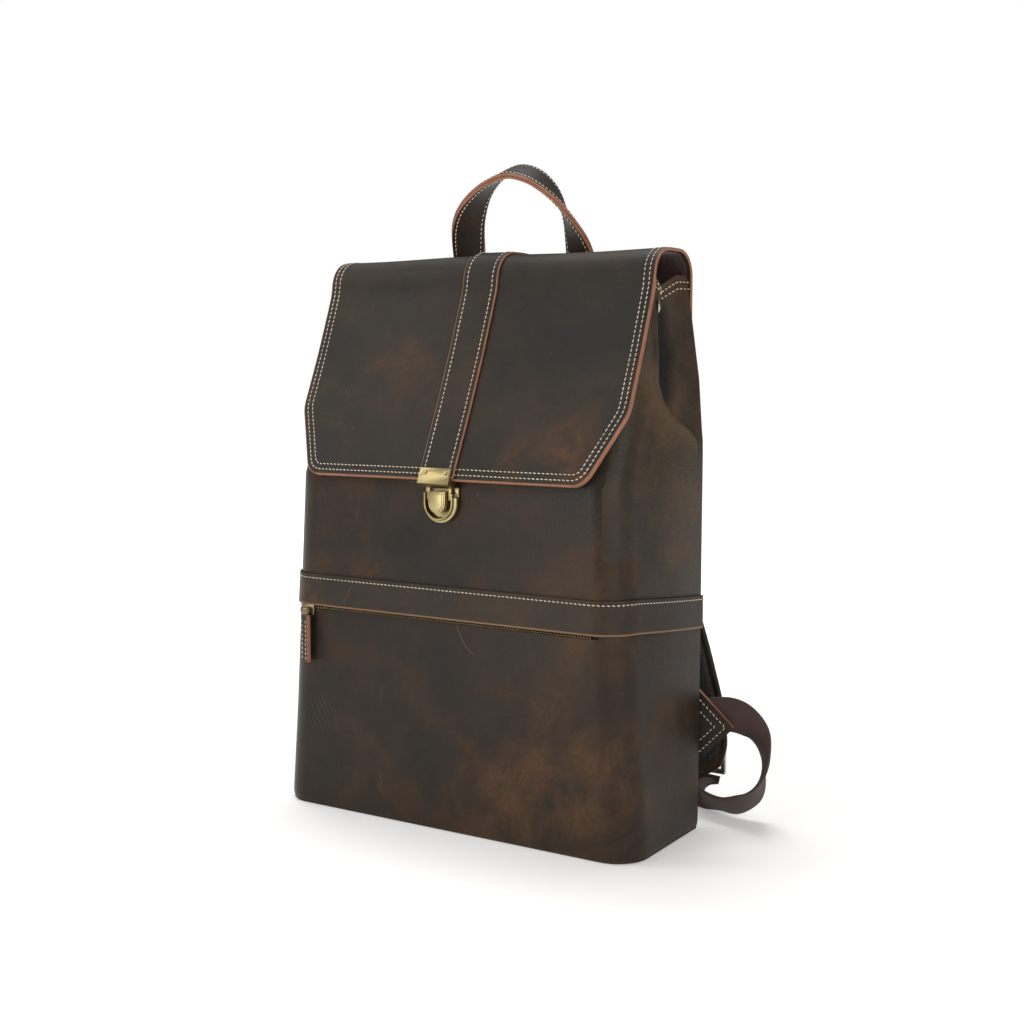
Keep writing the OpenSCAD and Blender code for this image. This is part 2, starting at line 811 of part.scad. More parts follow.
// A compression spring of round wire, with its end turns closed
spring_wire = 0.25;
spring_mean = 2.8;
spring_turns = 4;
spring_steps = 16;
module lock_spring() {
    rise = spring_len - 2 * spring_wire - 0.1;
    count = spring_turns * spring_steps;
    rings = [
        for (i = [0:count]) let (
            a = 360 * i / spring_steps,
            h = rise * i / count,
            centre = [spring_mean * cos(a), h, spring_mean * sin(a)]
        ) [
            for (k = [0:5]) centre + spring_wire * (
                cos(60 * k) * [cos(a), 0, sin(a)] + sin(60 * k) * [0, 1, 0]
            )
        ]
    ];
    color([0.75, 0.75, 0.72])
        translate([0, lock_y + barrel_len - 0.8 - spring_len + spring_wire + 0.05, button_z])
            loft([for (ring = rings) flip(ring)]);
}

module lock_back_plate() {
    y0 = -back_y + leather_t + 4.2;
    color([0.70, 0.66, 0.55]) difference() {
        at_button(y0, y0 + 1) u_shape(lock_r - 2, lock_h - lock_r - 4);
        lock_holes(y0 - 5, y0 + 5);
    }
}

module lock_rivets() {
    y1 = -back_y + leather_t + 4.2 + 1.6;
    color([0.80, 0.72, 0.50]) both_sides()
        translate([stud_x(), y1, stud_z()]) rotate([90, 0, 0]) {
            cylinder(r = stud_r(), h = y1 - lock_y, $fn = 24);
            cylinder(r = 1.8, h = 0.55, $fn = 24);
        }
}

// ---- The zip ----

zip_y = lookup(zip_z, FRONT_LINE);
coil_t = 1.7;
coil_y = zip_y - 0.4;
zip_past = max(zip_len / 2 + 2 - front_half(zip_z) + corner_r, 0);
tape_y = zip_y + corner_r - sqrt(pow(corner_r - leather_t, 2) - pow(zip_past, 2)) + 0.25;
coil_gap = 0.8;
slider_park = -zip_len / 2 + 3;
ear_y = coil_y - 4.2;
pin_r = 0.8;

module zip_tape() {
    x = zip_len / 2 + 2;
    color([0.16, 0.12, 0.09]) {
        block(-x, x, tape_y, tape_y + 0.5, zip_z + coil_gap / 2, zip_z + 10);
        block(-x, x, tape_y, tape_y + 0.5, zip_z - 9, zip_z - coil_gap / 2);
    }
}

module zip_coil_upper() {
    color([0.30, 0.24, 0.16])
        block(-zip_len / 2, zip_len / 2, coil_y, tape_y - 0.05,
              zip_z + coil_gap / 2, zip_z + coil_gap / 2 + coil_t);
}

module zip_coil_lower() {
    color([0.30, 0.24, 0.16])
        block(-zip_len / 2, zip_len / 2, coil_y, tape_y - 0.05,
              zip_z - coil_gap / 2 - coil_t, zip_z - coil_gap / 2);
}

module zip_end_stops() {
    color([0.72, 0.62, 0.38]) both_sides()
        block(zip_len / 2 + 0.2, zip_len / 2 + 1.8, coil_y - 0.4, tape_y - 0.05,
              zip_z - 2.2, zip_z + 2.2);
}

module zip_slider() {
    face = coil_y - 0.4;
    color([0.80, 0.72, 0.50]) translate([slider_park, 0, zip_z]) {
        block(-5.5, 5.5, face - 1.3, face, -3.7, 3.7);
        block(-2, 2, face - 0.1, tape_y + 0.9, -0.2, 0.2);
        block(-5.5, 5.5, tape_y + 0.8, tape_y + 1.9, -3.2, 3.2);
        both_sides() block(3, 4, ear_y - 1.6, face - 1.2, -1.6, 1.6);
        translate([-3.5, ear_y, 0]) rotate([0, 90, 0]) cylinder(r = pin_r, h = 7, $fn = 32);
    }
}

module zip_pull_hook() {
    color([0.80, 0.72, 0.50]) translate([slider_park, ear_y, zip_z]) difference() {
        union() {
            translate([-2.6, 0, 0]) rotate([0, 90, 0]) cylinder(r = 1.9, h = 5.2, $fn = 32);
            block(-2.6, 2.6, -1, 0.2, -6, -0.8);
        }
        translate([-5, 0, 0]) rotate([0, 90, 0]) cylinder(r = pin_r + 0.1, h = 10, $fn = 32);
    }
}

module zip_pull_tab() {
    half = 4.8;
    color([0.36, 0.22, 0.15]) translate([slider_park, ear_y, zip_z]) difference() {
        across_y(-2, 1.2) union() {
            translate([-half, -pull_len]) square([2 * half, pull_len - 3.4]);
        }
        block(-2.8, 2.8, -1.2, 0.4, -6.2, 0);
    }
}

// ---- The shoulder straps, modelled on the right and mirrored ----

leather_at = mesh_t + strap_foam_t;
strap_mid = (leather_at + strap_leather_t) / 2;

module strap_tops() {
    color([0.26, 0.19, 0.14]) both_sides()
        block(strap_x - top_half, strap_x + top_half, layer_y, handle_y,
              strap_z, strap_z + 24);
}

module shoulder_strap() {
    color([0.25, 0.18, 0.13])
        strap(STRAP, -strap_mid, strap_mid - leather_at - 0.05, 5, 0, 4);
}

module strap_foam() {
    color([0.75, 0.72, 0.62])
        strap(STRAP, strap_mid - leather_at + 0.2, strap_mid - mesh_t - 0.25, 5, 2, 4);
}

module strap_mesh() {
    color([0.12, 0.11, 0.10])
        strap(STRAP, strap_mid - mesh_t, strap_mid, 5, 0.5, 4);
}

// The ladder slider stands behind the strap's end, with two slots
module strap_slider() {
    slot = webbing_w + 2;
    color([0.72, 0.62, 0.38])
        translate([end_x, slider_y + strap_mid - 1.4, slider_z]) difference() {
            block(-slider_w / 2, slider_w / 2, 0, slider_t, -slider_h / 2, slider_h / 2);
            block(-slot / 2, slot / 2, -1, slider_t + 1, 3, 8.5);
            block(-slot / 2, slot / 2, -1, slider_t + 1, -8.5, -1);
        }
}

// A folded leather loop that holds the slider's top bar, sewn to the strap
module strap_keeper() {
    y0 = slider_y + strap_mid - 1.4;
    color([0.28, 0.20, 0.14])
        translate([end_x, 0, slider_z]) {
            block(-webbing_w / 2, webbing_w / 2, y0 + slider_t + 0.3, y0 + slider_t + 0.3 + keeper_t, 5, 34);
            block(-webbing_w / 2, webbing_w / 2, y0 - 0.2, y0 + slider_t + 0.4, 14, 34);
            block(-webbing_w / 2, webbing_w / 2, y0 + 0.4, y0 + slider_t + 0.4, 4, 7);
        }
}

module strap_anchor() {
    y = back_y + fit + tab_t / 2;
    color([0.40, 0.24, 0.17]) translate([tab_fold_x, y, tab_z]) {
        across_y(-tab_t / 2, tab_t / 2)
            polygon([[-tab_flat, -34], [0, -tab_half], [0, tab_half], [-tab_flat, 34]]);
        rotate([0, 0, tab_turn]) across_y(-tab_t / 2, tab_t / 2)
            polygon([
                [0, -tab_half], [tab_reach - 2, -2.5], [tab_reach, 0], [tab_reach - 2, 2.5], [0, tab_half]
            ]);
    }
}

module strap_webbing() {
    color([0.34, 0.24, 0.21]) strap(WEBBING, -webbing_t / 2, webbing_t / 2, 3);
}

// ---- Gusset snaps ----

// The outside of the gusset at the snap, which may lie on the corner's round
function snap_past() = max(lookup(snap_z, FRONT_LINE) + corner_r - snap_y, 0);
// How far the gusset rises across a cap
function snap_rise() = sqrt(pow(corner_r, 2) - pow(max(snap_past() - snap_r, 0), 2))
    - sqrt(pow(corner_r, 2) - pow(snap_past(), 2));
function snap_x() = let (
    cy = lookup(snap_z, FRONT_LINE) + corner_r,
    past = max(cy - snap_y, 0),
    share = max(snap_y - cy, 0) / (back_y - cy)
) front_half(snap_z) - corner_r + sqrt(corner_r * corner_r - past * past)
    + (back_half(snap_z) - front_half(snap_z)) * share;

module gusset_snap_caps() {
    color([0.80, 0.78, 0.70]) both_sides()
        translate([snap_x() + snap_rise() + 0.2, snap_y, snap_z]) rotate([0, 90, 0]) {
            cylinder(r = snap_r, h = 1.2, $fn = 48);
            translate([0, 0, 1.2]) cylinder(r = snap_r - 1.2, h = 0.8, $fn = 48);
            translate([0, 0, -snap_depth - 2.4]) cylinder(r = snap_post_r, h = snap_depth + 2.4, $fn = 24);
        }
}

module gusset_snap_sockets() {
    color([0.80, 0.78, 0.70]) both_sides()
        translate([snap_x() - snap_depth - 1.8, snap_y, snap_z]) rotate([0, 90, 0]) difference() {
            cylinder(r = snap_r - 0.5, h = 1.8, $fn = 48);
            translate([0, 0, -1]) cylinder(r = snap_post_r + 0.2, h = 4, $fn = 24);
        }
}

base_panel();
base_board();
lower_shell();
upper_shell();
trim_band();
back_panel();
back_padding();
main_lining();
pocket_lining();
mouth_hem();
laptop_sleeve();
organizer_pocket();
flap_leather();
flap_facing();
flap_lining();
flap_centre_strip();
flap_roll();
flap_roll_lining();
roll_centre_strip();
back_yoke();
handle_tails();
handle_leather();
handle_core();
handle_lining();
lock_clasp();
lock_clasp_rivets();
lock_body();
lock_button();
lock_spring();
lock_back_plate();
lock_rivets();
zip_tape();
zip_coil_upper();
zip_coil_lower();
zip_end_stops();
zip_slider();
zip_pull_hook();
zip_pull_tab();
strap_tops();
mirror([1, 0, 0]) shoulder_strap();  // shoulder_strap_left
shoulder_strap();  // shoulder_strap_right
mirror([1, 0, 0]) strap_foam();  // strap_foam_left
strap_foam();  // strap_foam_right
mirror([1, 0, 0]) strap_mesh();  // strap_mesh_left
strap_mesh();  // strap_mesh_right
mirror([1, 0, 0]) strap_keeper();  // strap_keeper_left
strap_keeper();  // strap_keeper_right
mirror([1, 0, 0]) strap_slider();  // strap_slider_left
strap_slider();  // strap_slider_right
mirror([1, 0, 0]) strap_anchor();  // strap_anchor_left
strap_anchor();  // strap_anchor_right
mirror([1, 0, 0]) strap_webbing();  // strap_webbing_left
strap_webbing();  // strap_webbing_right
gusset_snap_caps();
gusset_snap_sockets();
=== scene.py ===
import math

import bmesh
import bpy
import numpy as np
from mathutils import Matrix, Vector


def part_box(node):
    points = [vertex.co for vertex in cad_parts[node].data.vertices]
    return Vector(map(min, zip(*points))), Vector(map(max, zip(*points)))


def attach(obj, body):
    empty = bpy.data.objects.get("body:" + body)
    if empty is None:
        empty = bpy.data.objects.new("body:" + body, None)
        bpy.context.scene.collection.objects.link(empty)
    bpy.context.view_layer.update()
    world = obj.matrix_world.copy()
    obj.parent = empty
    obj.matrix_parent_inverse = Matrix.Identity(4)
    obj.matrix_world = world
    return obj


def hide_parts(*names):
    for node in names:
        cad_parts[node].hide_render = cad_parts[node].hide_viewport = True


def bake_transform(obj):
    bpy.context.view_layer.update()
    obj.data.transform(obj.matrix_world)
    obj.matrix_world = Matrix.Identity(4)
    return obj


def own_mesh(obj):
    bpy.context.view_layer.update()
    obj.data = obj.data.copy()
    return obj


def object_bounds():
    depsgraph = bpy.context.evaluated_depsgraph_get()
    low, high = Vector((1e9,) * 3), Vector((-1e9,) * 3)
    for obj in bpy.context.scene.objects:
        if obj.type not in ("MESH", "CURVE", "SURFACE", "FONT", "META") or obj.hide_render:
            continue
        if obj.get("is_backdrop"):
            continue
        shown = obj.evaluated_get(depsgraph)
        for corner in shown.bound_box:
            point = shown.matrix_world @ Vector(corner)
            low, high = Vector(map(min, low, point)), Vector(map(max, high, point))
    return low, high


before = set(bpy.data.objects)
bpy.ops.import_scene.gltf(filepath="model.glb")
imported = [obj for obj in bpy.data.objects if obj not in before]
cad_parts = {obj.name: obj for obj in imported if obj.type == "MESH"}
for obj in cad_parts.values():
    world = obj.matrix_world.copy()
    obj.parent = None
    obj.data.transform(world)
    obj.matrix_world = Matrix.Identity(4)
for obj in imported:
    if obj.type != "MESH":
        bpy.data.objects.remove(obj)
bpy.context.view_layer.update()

# ---- Camera, light and floor ----
# A studio table: one long lens a metre away in a bright white room, and a white
# floor that glows, which is painted light. A low key softbox stands in front, and
# three more light the right side, the left and the top.

AIM = Vector((0.0249, 0, 0.2208))
TURN, RISE, REACH = math.radians(33.35), math.radians(5.5), 1.0565
away = Vector((
    math.sin(TURN) * math.cos(RISE), -math.cos(TURN) * math.cos(RISE), math.sin(RISE)
))
lens = bpy.data.cameras.new("camera")
lens.lens = 52.9
lens.clip_start, lens.clip_end = 0.05, 30
camera = bpy.data.objects.new("camera", lens)
camera.location = AIM + REACH * away
camera.rotation_euler = (-away).to_track_quat("-Z", "Y").to_euler()
bpy.context.collection.objects.link(camera)
bpy.context.scene.camera = camera
bpy.context.scene.view_settings.view_transform = "Standard"


def softbox(name, place, aim, width, height, power):
    light = bpy.data.lights.new(name, "AREA")
    light.shape, light.size, light.size_y, light.energy = "RECTANGLE", width, height, power
    lamp = bpy.data.objects.new(name, light)
    lamp.location = place
    lamp.rotation_euler = (Vector(aim) - Vector(place)).to_track_quat("-Z", "Y").to_euler()
    bpy.context.collection.objects.link(lamp)


softbox("key light", (-0.40, -1.30, 0.34), (0.07, 0, 0.22), 0.34, 0.5, 4.6)
softbox("side light", (2.1, -1.2, 1.0), (0.1, 0, 0.26), 0.7, 1.2, 22)
softbox("left light", (-2.0, -1.2, 1.9), (0, 0, 0.2), 1.1, 1.1, 20)
softbox("top light", (-0.4, 0.4, 2.3), (0, 0, 0.2), 1.2, 1.2, 34)

room = bpy.data.worlds.new("white room")
room.use_nodes = True
walls = room.node_tree.nodes["Background"]
walls.inputs["Color"].default_value = (1, 0.94, 0.88, 1)
walls.inputs["Strength"].default_value = 0.30
seen = room.node_tree.nodes.new("ShaderNodeBackground")
seen.inputs["Color"].default_value = (1, 1, 1, 1)
seen.inputs["Strength"].default_value = 1.0
rays = room.node_tree.nodes.new("ShaderNodeLightPath")
choice = room.node_tree.nodes.new("ShaderNodeMixShader")
room.node_tree.links.new(rays.outputs["Is Camera Ray"], choice.inputs[0])
room.node_tree.links.new(walls.outputs[0], choice.inputs[1])
room.node_tree.links.new(seen.outputs[0], choice.inputs[2])
room.node_tree.links.new(choice.outputs[0], room.node_tree.nodes["World Output"].inputs[0])
bpy.context.scene.world = room

floor_mesh = bpy.data.meshes.new("floor")
floor_mesh.from_pydata(
    [(-60, -9, 0), (60, -9, 0), (60, 90, 0), (-60, 90, 0)], [], [(0, 1, 2, 3)]
)
paper = bpy.data.materials.new("white_paper")
paper.use_nodes = True
white = paper.node_tree.nodes["Principled BSDF"]
white.inputs["Base Color"].default_value = (0.8, 0.8, 0.8, 1)
white.inputs["Roughness"].default_value = 1.0
white.inputs["Specular IOR Level"].default_value = 0.0
# Painted light: the floor glows through its emission, dimmer near the bag and brighter further off,
# so the far floor is plain white; the glow also lights the bag from below.
place = paper.node_tree.nodes.new("ShaderNodeTexCoord")
far = paper.node_tree.nodes.new("ShaderNodeVectorMath")
far.operation = "LENGTH"
glow = paper.node_tree.nodes.new("ShaderNodeMapRange")
glow.inputs["From Min"].default_value, glow.inputs["From Max"].default_value = 0.25, 1.6
glow.inputs["To Min"].default_value, glow.inputs["To Max"].default_value = 0.27, 0.84
paper.node_tree.links.new(place.outputs["Object"], far.inputs[0])
paper.node_tree.links.new(far.outputs["Value"], glow.inputs[0])
paper.node_tree.links.new(glow.outputs[0], white.inputs["Emission Color"])
white.inputs["Emission Strength"].default_value = 1.0
floor_mesh.materials.append(paper)
floor = bpy.data.objects.new("floor", floor_mesh)
bpy.context.collection.objects.link(floor)
floor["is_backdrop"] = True

# ---- Lower body ----
# The front pocket and sides below the band are one piece of waxed pull-up
# leather, 2.2 mm thick, wrapped round the front corners and turned in at the
# foot, where it is sewn to the base.

MM = 0.001
BACK_Y = 51.0
CORNER_R = 24.0
FRONT_LINE = ([0, 150, 246, 293.6, 330.3, 363, 382], [-51, -50, -47, -27.7, -13.3, -0.5, 6.5])
FRONT_TUCK = ([0, 75, 150, 246, 293.6, 382], [0, 5.5, 9.5, 13, 14, 16])
BACK_TUCK = ([0, 273.2, 314, 348, 382], [3, 2.5, 5.6, 10.6, 16])
HALF_WIDTH = 150.0


def ease(value, low, high):
    """0 at low, 1 at high, with soft ends."""
    share = np.clip((value - low) / (high - low), 0, 1)
    return share * share * (3 - 2 * share)


def pleat(z):
    """Where the gusset folds in at height z, and how deep."""
    levels = [262, 272, 278.6, 283, 291, 301, 313, 345, 365, 382]
    place = np.interp(z, levels, [44, 43, 39, 29, 17, 9, 6, 9, 14, 20])
    return place, np.interp(z, levels, [0, 1.5, 5, 10, 16, 19, 20, 20, 18, 14])


def around(z, inset, back=BACK_Y, folded=1.0):
    """The outside of front and sides at height z, from the left back to the right back."""
    front = np.interp(z, *FRONT_LINE)
    half = HALF_WIDTH - np.interp(z, *FRONT_TUCK)
    half_back = HALF_WIDTH - np.interp(z, *BACK_TUCK)
    radius = CORNER_R - inset
    corner = np.array([half - CORNER_R, front + CORNER_R])
    place, depth = pleat(z)
    place = min(place, back - 9)
    stops = [back, max(place + 9, corner[1] + 4), place - 4, front + inset + 3.0]
    if place - 4 > corner[1] + 6:
        stops = [back, place + 5, place - 4, front + inset + 3.0]
    levels = np.concatenate([
        np.linspace(stops[0], stops[1], 10)[:-1], np.linspace(stops[1], stops[2], 16)[:-1],
        np.linspace(stops[2], stops[3], 22),
    ])
    side = []
    for y in levels:
        share = np.clip((back - y) / (back - corner[1]), 0, 1)
        end = half + (half_back - half) * (back - corner[1]) / (BACK_Y - corner[1])
        x = end + (half - end) * share - inset
        if y < corner[1]:
            x = corner[0] + math.sqrt(max(radius**2 - (corner[1] - y) ** 2, 0))
        gap = (y - place) / (BACK_Y + 2 - place)
        wall = float(ease(y, place - 1.5, place + 5.5))
        fold = wall * (1 - max(gap, 0)) ** 1.25
        rise = 3.0 * math.exp(-(((y - place + 6) / 6.5) ** 2)) * depth / 20
        belly = 2.2 * math.sin(math.pi * share) * ease(z, 30, 180) * ease(-z, -330, -240)
        side.append([x - folded * (depth * fold - rise) + belly, y])
    angles = np.linspace(math.acos(min(1, (corner[1] - levels[-1]) / radius)), 0, 8)[1:]
    turn = [[corner[0] + radius * math.sin(a), corner[1] - radius * math.cos(a)] for a in angles]
    right = np.array(side + turn)
    edge = right[-1, 0]
    middle = np.linspace(edge, -edge, 42)[1:-1]
    pocket_belly = 2.2 * ease(z, 4, 60) * (1 - ease(z, 112, 146))
    belly = pocket_belly + 1.5 * ease(z, 172, 188) * (1 - ease(z, 190, 214))
    centre = np.stack([middle, right[-1, 1] - belly * (1 - (middle / edge) ** 2)], 1)
    left = right[::-1] * [-1, 1]
    ring = np.concatenate([right, centre, left])[::-1]
    return np.column_stack([ring, np.full(len(ring), z)])


def sheet_faces(rows, columns):
    return [
        (r * columns + c, r * columns + c + 1, (r + 1) * columns + c + 1, (r + 1) * columns + c)
        for r in range(rows - 1) for c in range(columns - 1)
    ]


def make(name, points, faces, finishes, slots=None):
    """A smooth mesh from points in millimetres."""
    mesh = bpy.data.meshes.new(name)
    mesh.from_pydata([tuple(p) for p in np.asarray(points, float) * MM], [], faces)
    for finish in finishes:
        mesh.materials.append(finish)
    if slots is not None:
        mesh.polygons.foreach_set("material_index", slots)
    mesh.polygons.foreach_set("use_smooth", [True] * len(mesh.polygons))
    mesh.update()
    piece = bpy.data.objects.new(name, mesh)
    bpy.context.collection.objects.link(piece)
    return piece


def settle(piece):
    """Turns a piece's modifiers into plain mesh."""
    graph = bpy.context.evaluated_depsgraph_get()
    mesh = bpy.data.meshes.new_from_object(
        piece.evaluated_get(graph), preserve_all_data_layers=True, depsgraph=graph
    )
    piece.modifiers.clear()
    piece.data = mesh
    return piece


def leather_sheet(name, grid, thickness, face, rim, soft=0.45, towards=-1, worn=True):
    """A grid of points as a sheet of leather, with its raw edge on the rim."""
    rows, columns = grid.shape[:2]
    piece = make(name, grid.reshape(-1, 3), sheet_faces(rows, columns), [face, rim])
    mod = piece.modifiers.new("thickness", "SOLIDIFY")
    mod.thickness, mod.offset, mod.material_offset_rim = thickness * MM, towards, 1
    mod = piece.modifiers.new("worn edge", "BEVEL")
    mod.width, mod.segments, mod.limit_method = soft * MM, 3, "ANGLE"
    mod.angle_limit = math.radians(60)
    mod.material = 1 if worn else -1
    return settle(piece)


def wire(tree, slot, value):
    """Links a value to a socket, or sets it."""
    if isinstance(value, Wire):
        value = value.socket
    if isinstance(value, bpy.types.NodeSocket):
        tree.links.new(value, slot)
    elif value is not None:
        slot.default_value = value


class Wire:
    """A socket that takes part in arithmetic."""

    def __init__(self, socket):
        self.socket = socket

    def apply(self, operation, *values, clamp=False):
        tree = self.socket.id_data
        node = tree.nodes.new("ShaderNodeMath")
        node.operation, node.use_clamp = operation, clamp
        for slot, value in zip(node.inputs, values):
            wire(tree, slot, value)
        return Wire(node.outputs[0])

    def __add__(self, other):
        return self.apply("ADD", self, other)

    def __mul__(self, other):
        return self.apply("MULTIPLY", self, other)

    def __sub__(self, other):
        return self.apply("SUBTRACT", self, other)

    def __rsub__(self, other):
        return self.apply("SUBTRACT", other, self)

    def __truediv__(self, other):
        return self.apply("DIVIDE", self, other)

    def __pow__(self, other):
        return self.apply("POWER", self, other)

    def __gt__(self, other):
        return self.apply("GREATER_THAN", self, other)

    __radd__, __rmul__ = __add__, __mul__

    def kept(self):
        return self.apply("ADD", self, 0.0, clamp=True)

    def size(self):
        return self.apply("ABSOLUTE", self)


class Finish:
    """A material in the making."""

    def __init__(self, name):
        self.material = bpy.data.materials.new(name)
        self.material.use_nodes = True
        self.tree = self.material.node_tree
        self.tree.nodes.clear()
        self.where = self.node("ShaderNodeTexCoord").outputs["Object"]

    def node(self, kind, settings=(), values=()):
        node = self.tree.nodes.new(kind)
        for key, value in dict(settings).items():
            if key == "stops":
                while len(node.color_ramp.elements) < len(value):
                    node.color_ramp.elements.new(0.5)
                for element, (place, colour) in zip(node.color_ramp.elements, value):
                    element.position, element.color = place, (*colour, 1)
            else:
                setattr(node, key, value)
        for key, value in dict(values).items():
            wire(self.tree, node.inputs[key], value)
        return node

    def noise(self, scale, detail=2.0, roughness=0.5, distortion=0.0, at=None):
        return Wire(self.node("ShaderNodeTexNoise", {}, {
            "Vector": at or self.where, "Scale": scale, "Detail": detail,
            "Roughness": roughness, "Distortion": distortion,
        }).outputs["Fac"])

    def cells(self, scale, feature="F1", at=None):
        node = self.node("ShaderNodeTexVoronoi", {"feature": feature}, {
            "Vector": at or self.where, "Scale": scale,
        })
        return Wire(node.outputs["Distance"])

    def stretched(self, scale, turn=(0, 0, 0)):
        return self.node("ShaderNodeMapping", {}, {
            "Vector": self.where, "Scale": scale, "Rotation": turn,
        }).outputs["Vector"]

    def axis(self, name, at=None):
        return Wire(self.node(
            "ShaderNodeSeparateXYZ", {}, {"Vector": at or self.where}
        ).outputs[name])

    def ramp(self, value, stops):
        node = self.node("ShaderNodeValToRGB", {"stops": stops}, {"Fac": value})
        return Wire(node.outputs["Color"])

    def mix(self, share, first, second, blend="MIX"):
        node = self.node("ShaderNodeMix", {"data_type": "RGBA", "blend_type": blend})
        for key, value in (("Factor_Float", share), ("A_Color", first), ("B_Color", second)):
            slot = next(s for s in node.inputs if s.identifier == key)
            if isinstance(value, tuple) and len(value) == 3:
                value = (*value, 1)
            wire(self.tree, slot, value)
        return Wire(next(s for s in node.outputs if s.identifier == "Result_Color"))

    def spot(self, centre, radius):
        """1 at a point on the object, falling to 0 at the radius."""
        node = self.node("ShaderNodeVectorMath", {"operation": "DISTANCE"}, {
            0: self.where, 1: tuple(c * MM for c in centre),
        })
        return (1 - Wire(node.outputs["Value"]) / (radius * MM)).kept()

    def bump(self, height, depth, strength=1.0, normal=None):
        return self.node("ShaderNodeBump", {}, {
            "Height": height, "Distance": depth * MM, "Strength": strength, "Normal": normal,
        }).outputs["Normal"]

    def surface(self, colour, roughness, normal=None, **fixed):
        shader = self.node("ShaderNodeBsdfPrincipled", {}, {
            "Base Color": (*colour, 1) if isinstance(colour, tuple) else colour,
            "Roughness": roughness, "Normal": normal,
            **{key.replace("_", " ").title().replace("Ior", "IOR"): v for key, v in fixed.items()},
        })
        output = self.node("ShaderNodeOutputMaterial")
        self.tree.links.new(shader.outputs[0], output.inputs[0])
        return self.material


def waxed_leather(name, cool, brown, warm, glow, patches=(), nicks=(), combed=(), grain=1.0,
                  gloss=0.0, seed=0.0, hem=None, painted_shade_spots=()):
    """Pull-up leather: cool wax, brown where it thins and orange where it was bent or rubbed."""
    f = Finish(name)
    at = f.node("ShaderNodeVectorMath", {"operation": "ADD"}, {
        0: f.where, 1: (seed, seed * 0.7, seed * 1.3),
    }).outputs[0]
    broad = f.noise(7, 3, 0.55, 0.6, at)
    cloud = f.noise(22, 5, 0.62, 0.8, at)
    fine = f.noise(210, 4, 0.65, 0, at)
    tone = broad * 0.55 + cloud * 0.45
    colour = f.ramp(tone, [(0.38, cool), (0.50, brown), (0.61, warm)])
    rub = f.noise(34, 6, 0.7, 1.6, at)
    heat = (tone - 0.58) * 4
    for centre, radius, strength in patches:
        heat = heat + f.spot(centre, radius) * strength
    heat = (heat.kept() * ((rub - 0.36) * 3.2).kept()).kept()
    colour = f.mix(heat, colour, glow)
    colour = f.mix((fine - 0.35) * 0.9, f.mix(0.42, colour, (0.004, 0.004, 0.004)), colour)
    marks = f.noise(90, 4, 0.75, 0.4, f.stretched((1.0, 1.0, 0.22), (0.5, 0.9, 0.3)))
    marks = ((marks - 0.66) * 9).kept() * 0.35
    for centre, radius, middle, reach, width in nicks:
        x = f.axis("X") - centre[0] * MM
        z = f.axis("Z") - centre[1] * MM
        line = (x * x + z * z) ** 0.5 - radius * MM
        near = (f.spot(middle, reach) * 3).kept()
        marks = marks + (1 - line.size() / (width * MM)).kept() * near
    for middle, reach, turn in combed:
        lines = Wire(f.node("ShaderNodeTexWave", {"wave_profile": "SAW"}, {
            "Vector": f.stretched((1, 1, 1), (0, turn, 0)), "Scale": 80, "Distortion": 3.5,
            "Detail": 2, "Detail Scale": 0.7,
        }).outputs["Fac"])
        area = (f.spot(middle, reach) * 1.6).kept()
        marks = marks + ((lines - 0.72) * 3).kept() * area * f.noise(60, 3) * 0.5
    marks = marks.kept()
    colour = f.mix(marks * 0.5, colour, (0.26, 0.18, 0.12))
    # Painted shade: spots mixed towards near-black where the hollows of the gusset folds lie in
    # shade.
    for centre, radius in painted_shade_spots:
        colour = f.mix((f.spot(centre, radius) * 3.2).kept() * 0.96, colour, (0.006, 0.005, 0.004))
    # A lighter tan line along the hem: partly the worn russet edge, partly a painted highlight where
    # its rounded edge would catch the light.
    if hem is not None:
        drop = ((f.axis("Y") + 30 * MM) / (81 * MM)).kept() * (6.5 * MM)
        hem_wear_and_highlight = (1 - (f.axis("Z") - hem * MM + drop).size() / (0.9 * MM)).kept()
        colour = f.mix((hem_wear_and_highlight * 1.6).kept() * 0.85, colour, (0.20, 0.115, 0.062))
    pores = f.cells(620, "SMOOTH_F1", at)
    wrinkle = f.noise(330, 5, 0.6, 0.6, at)
    dents = f.noise(48, 3, 0.5, 0.4, at)
    height = pores * (0.9 * grain) + wrinkle * (0.55 * grain) + dents * 0.9 - marks * 0.5
    roughness = (0.47 - gloss + (cloud - 0.5) * 0.25 + (fine - 0.5) * 0.12 + marks * 0.15).kept()
    return f.surface(colour, roughness, f.bump(height, 0.28, 0.55), specular_ior_level=0.17)


def raw_edge(name, light, dark):
    """A cut leather edge: dyed russet, fibrous along the cut."""
    f = Finish(name)
    fibres = f.noise(420, 4, 0.6)
    cloud = f.noise(60, 3, 0.6)
    colour = f.mix((cloud * 0.6 + fibres * 0.6 - 0.15).kept(), dark, light)
    return f.surface(colour, 0.62, f.bump(fibres, 0.25, 0.6))


shell_finish = waxed_leather(
    "waxed_leather_body", (0.021, 0.017, 0.013), (0.038, 0.023, 0.013), (0.066, 0.036, 0.017),
    (0.150, 0.066, 0.024),
    patches=[
        ((60, -50, 40), 75, 0.9), ((120, -45, 60), 60, 0.7), ((146, 0, 190), 60, 0.6),
        ((-40, -50, 150), 50, 0.7), ((-110, -50, 60), 45, 0.5), ((-70, -50, 200), 40, 0.7),
        ((140, -20, 225), 40, 0.7),
    ],
    nicks=[((42, 154), 30, (17.5, -51, 136.5), 15, 0.28)],
    combed=[((-108, -50, 70), 20, 0.5)],
    grain=1.0, gloss=0.03,
)
edge_finish = raw_edge("raw_leather_edge", (0.36, 0.155, 0.075), (0.15, 0.055, 0.028))

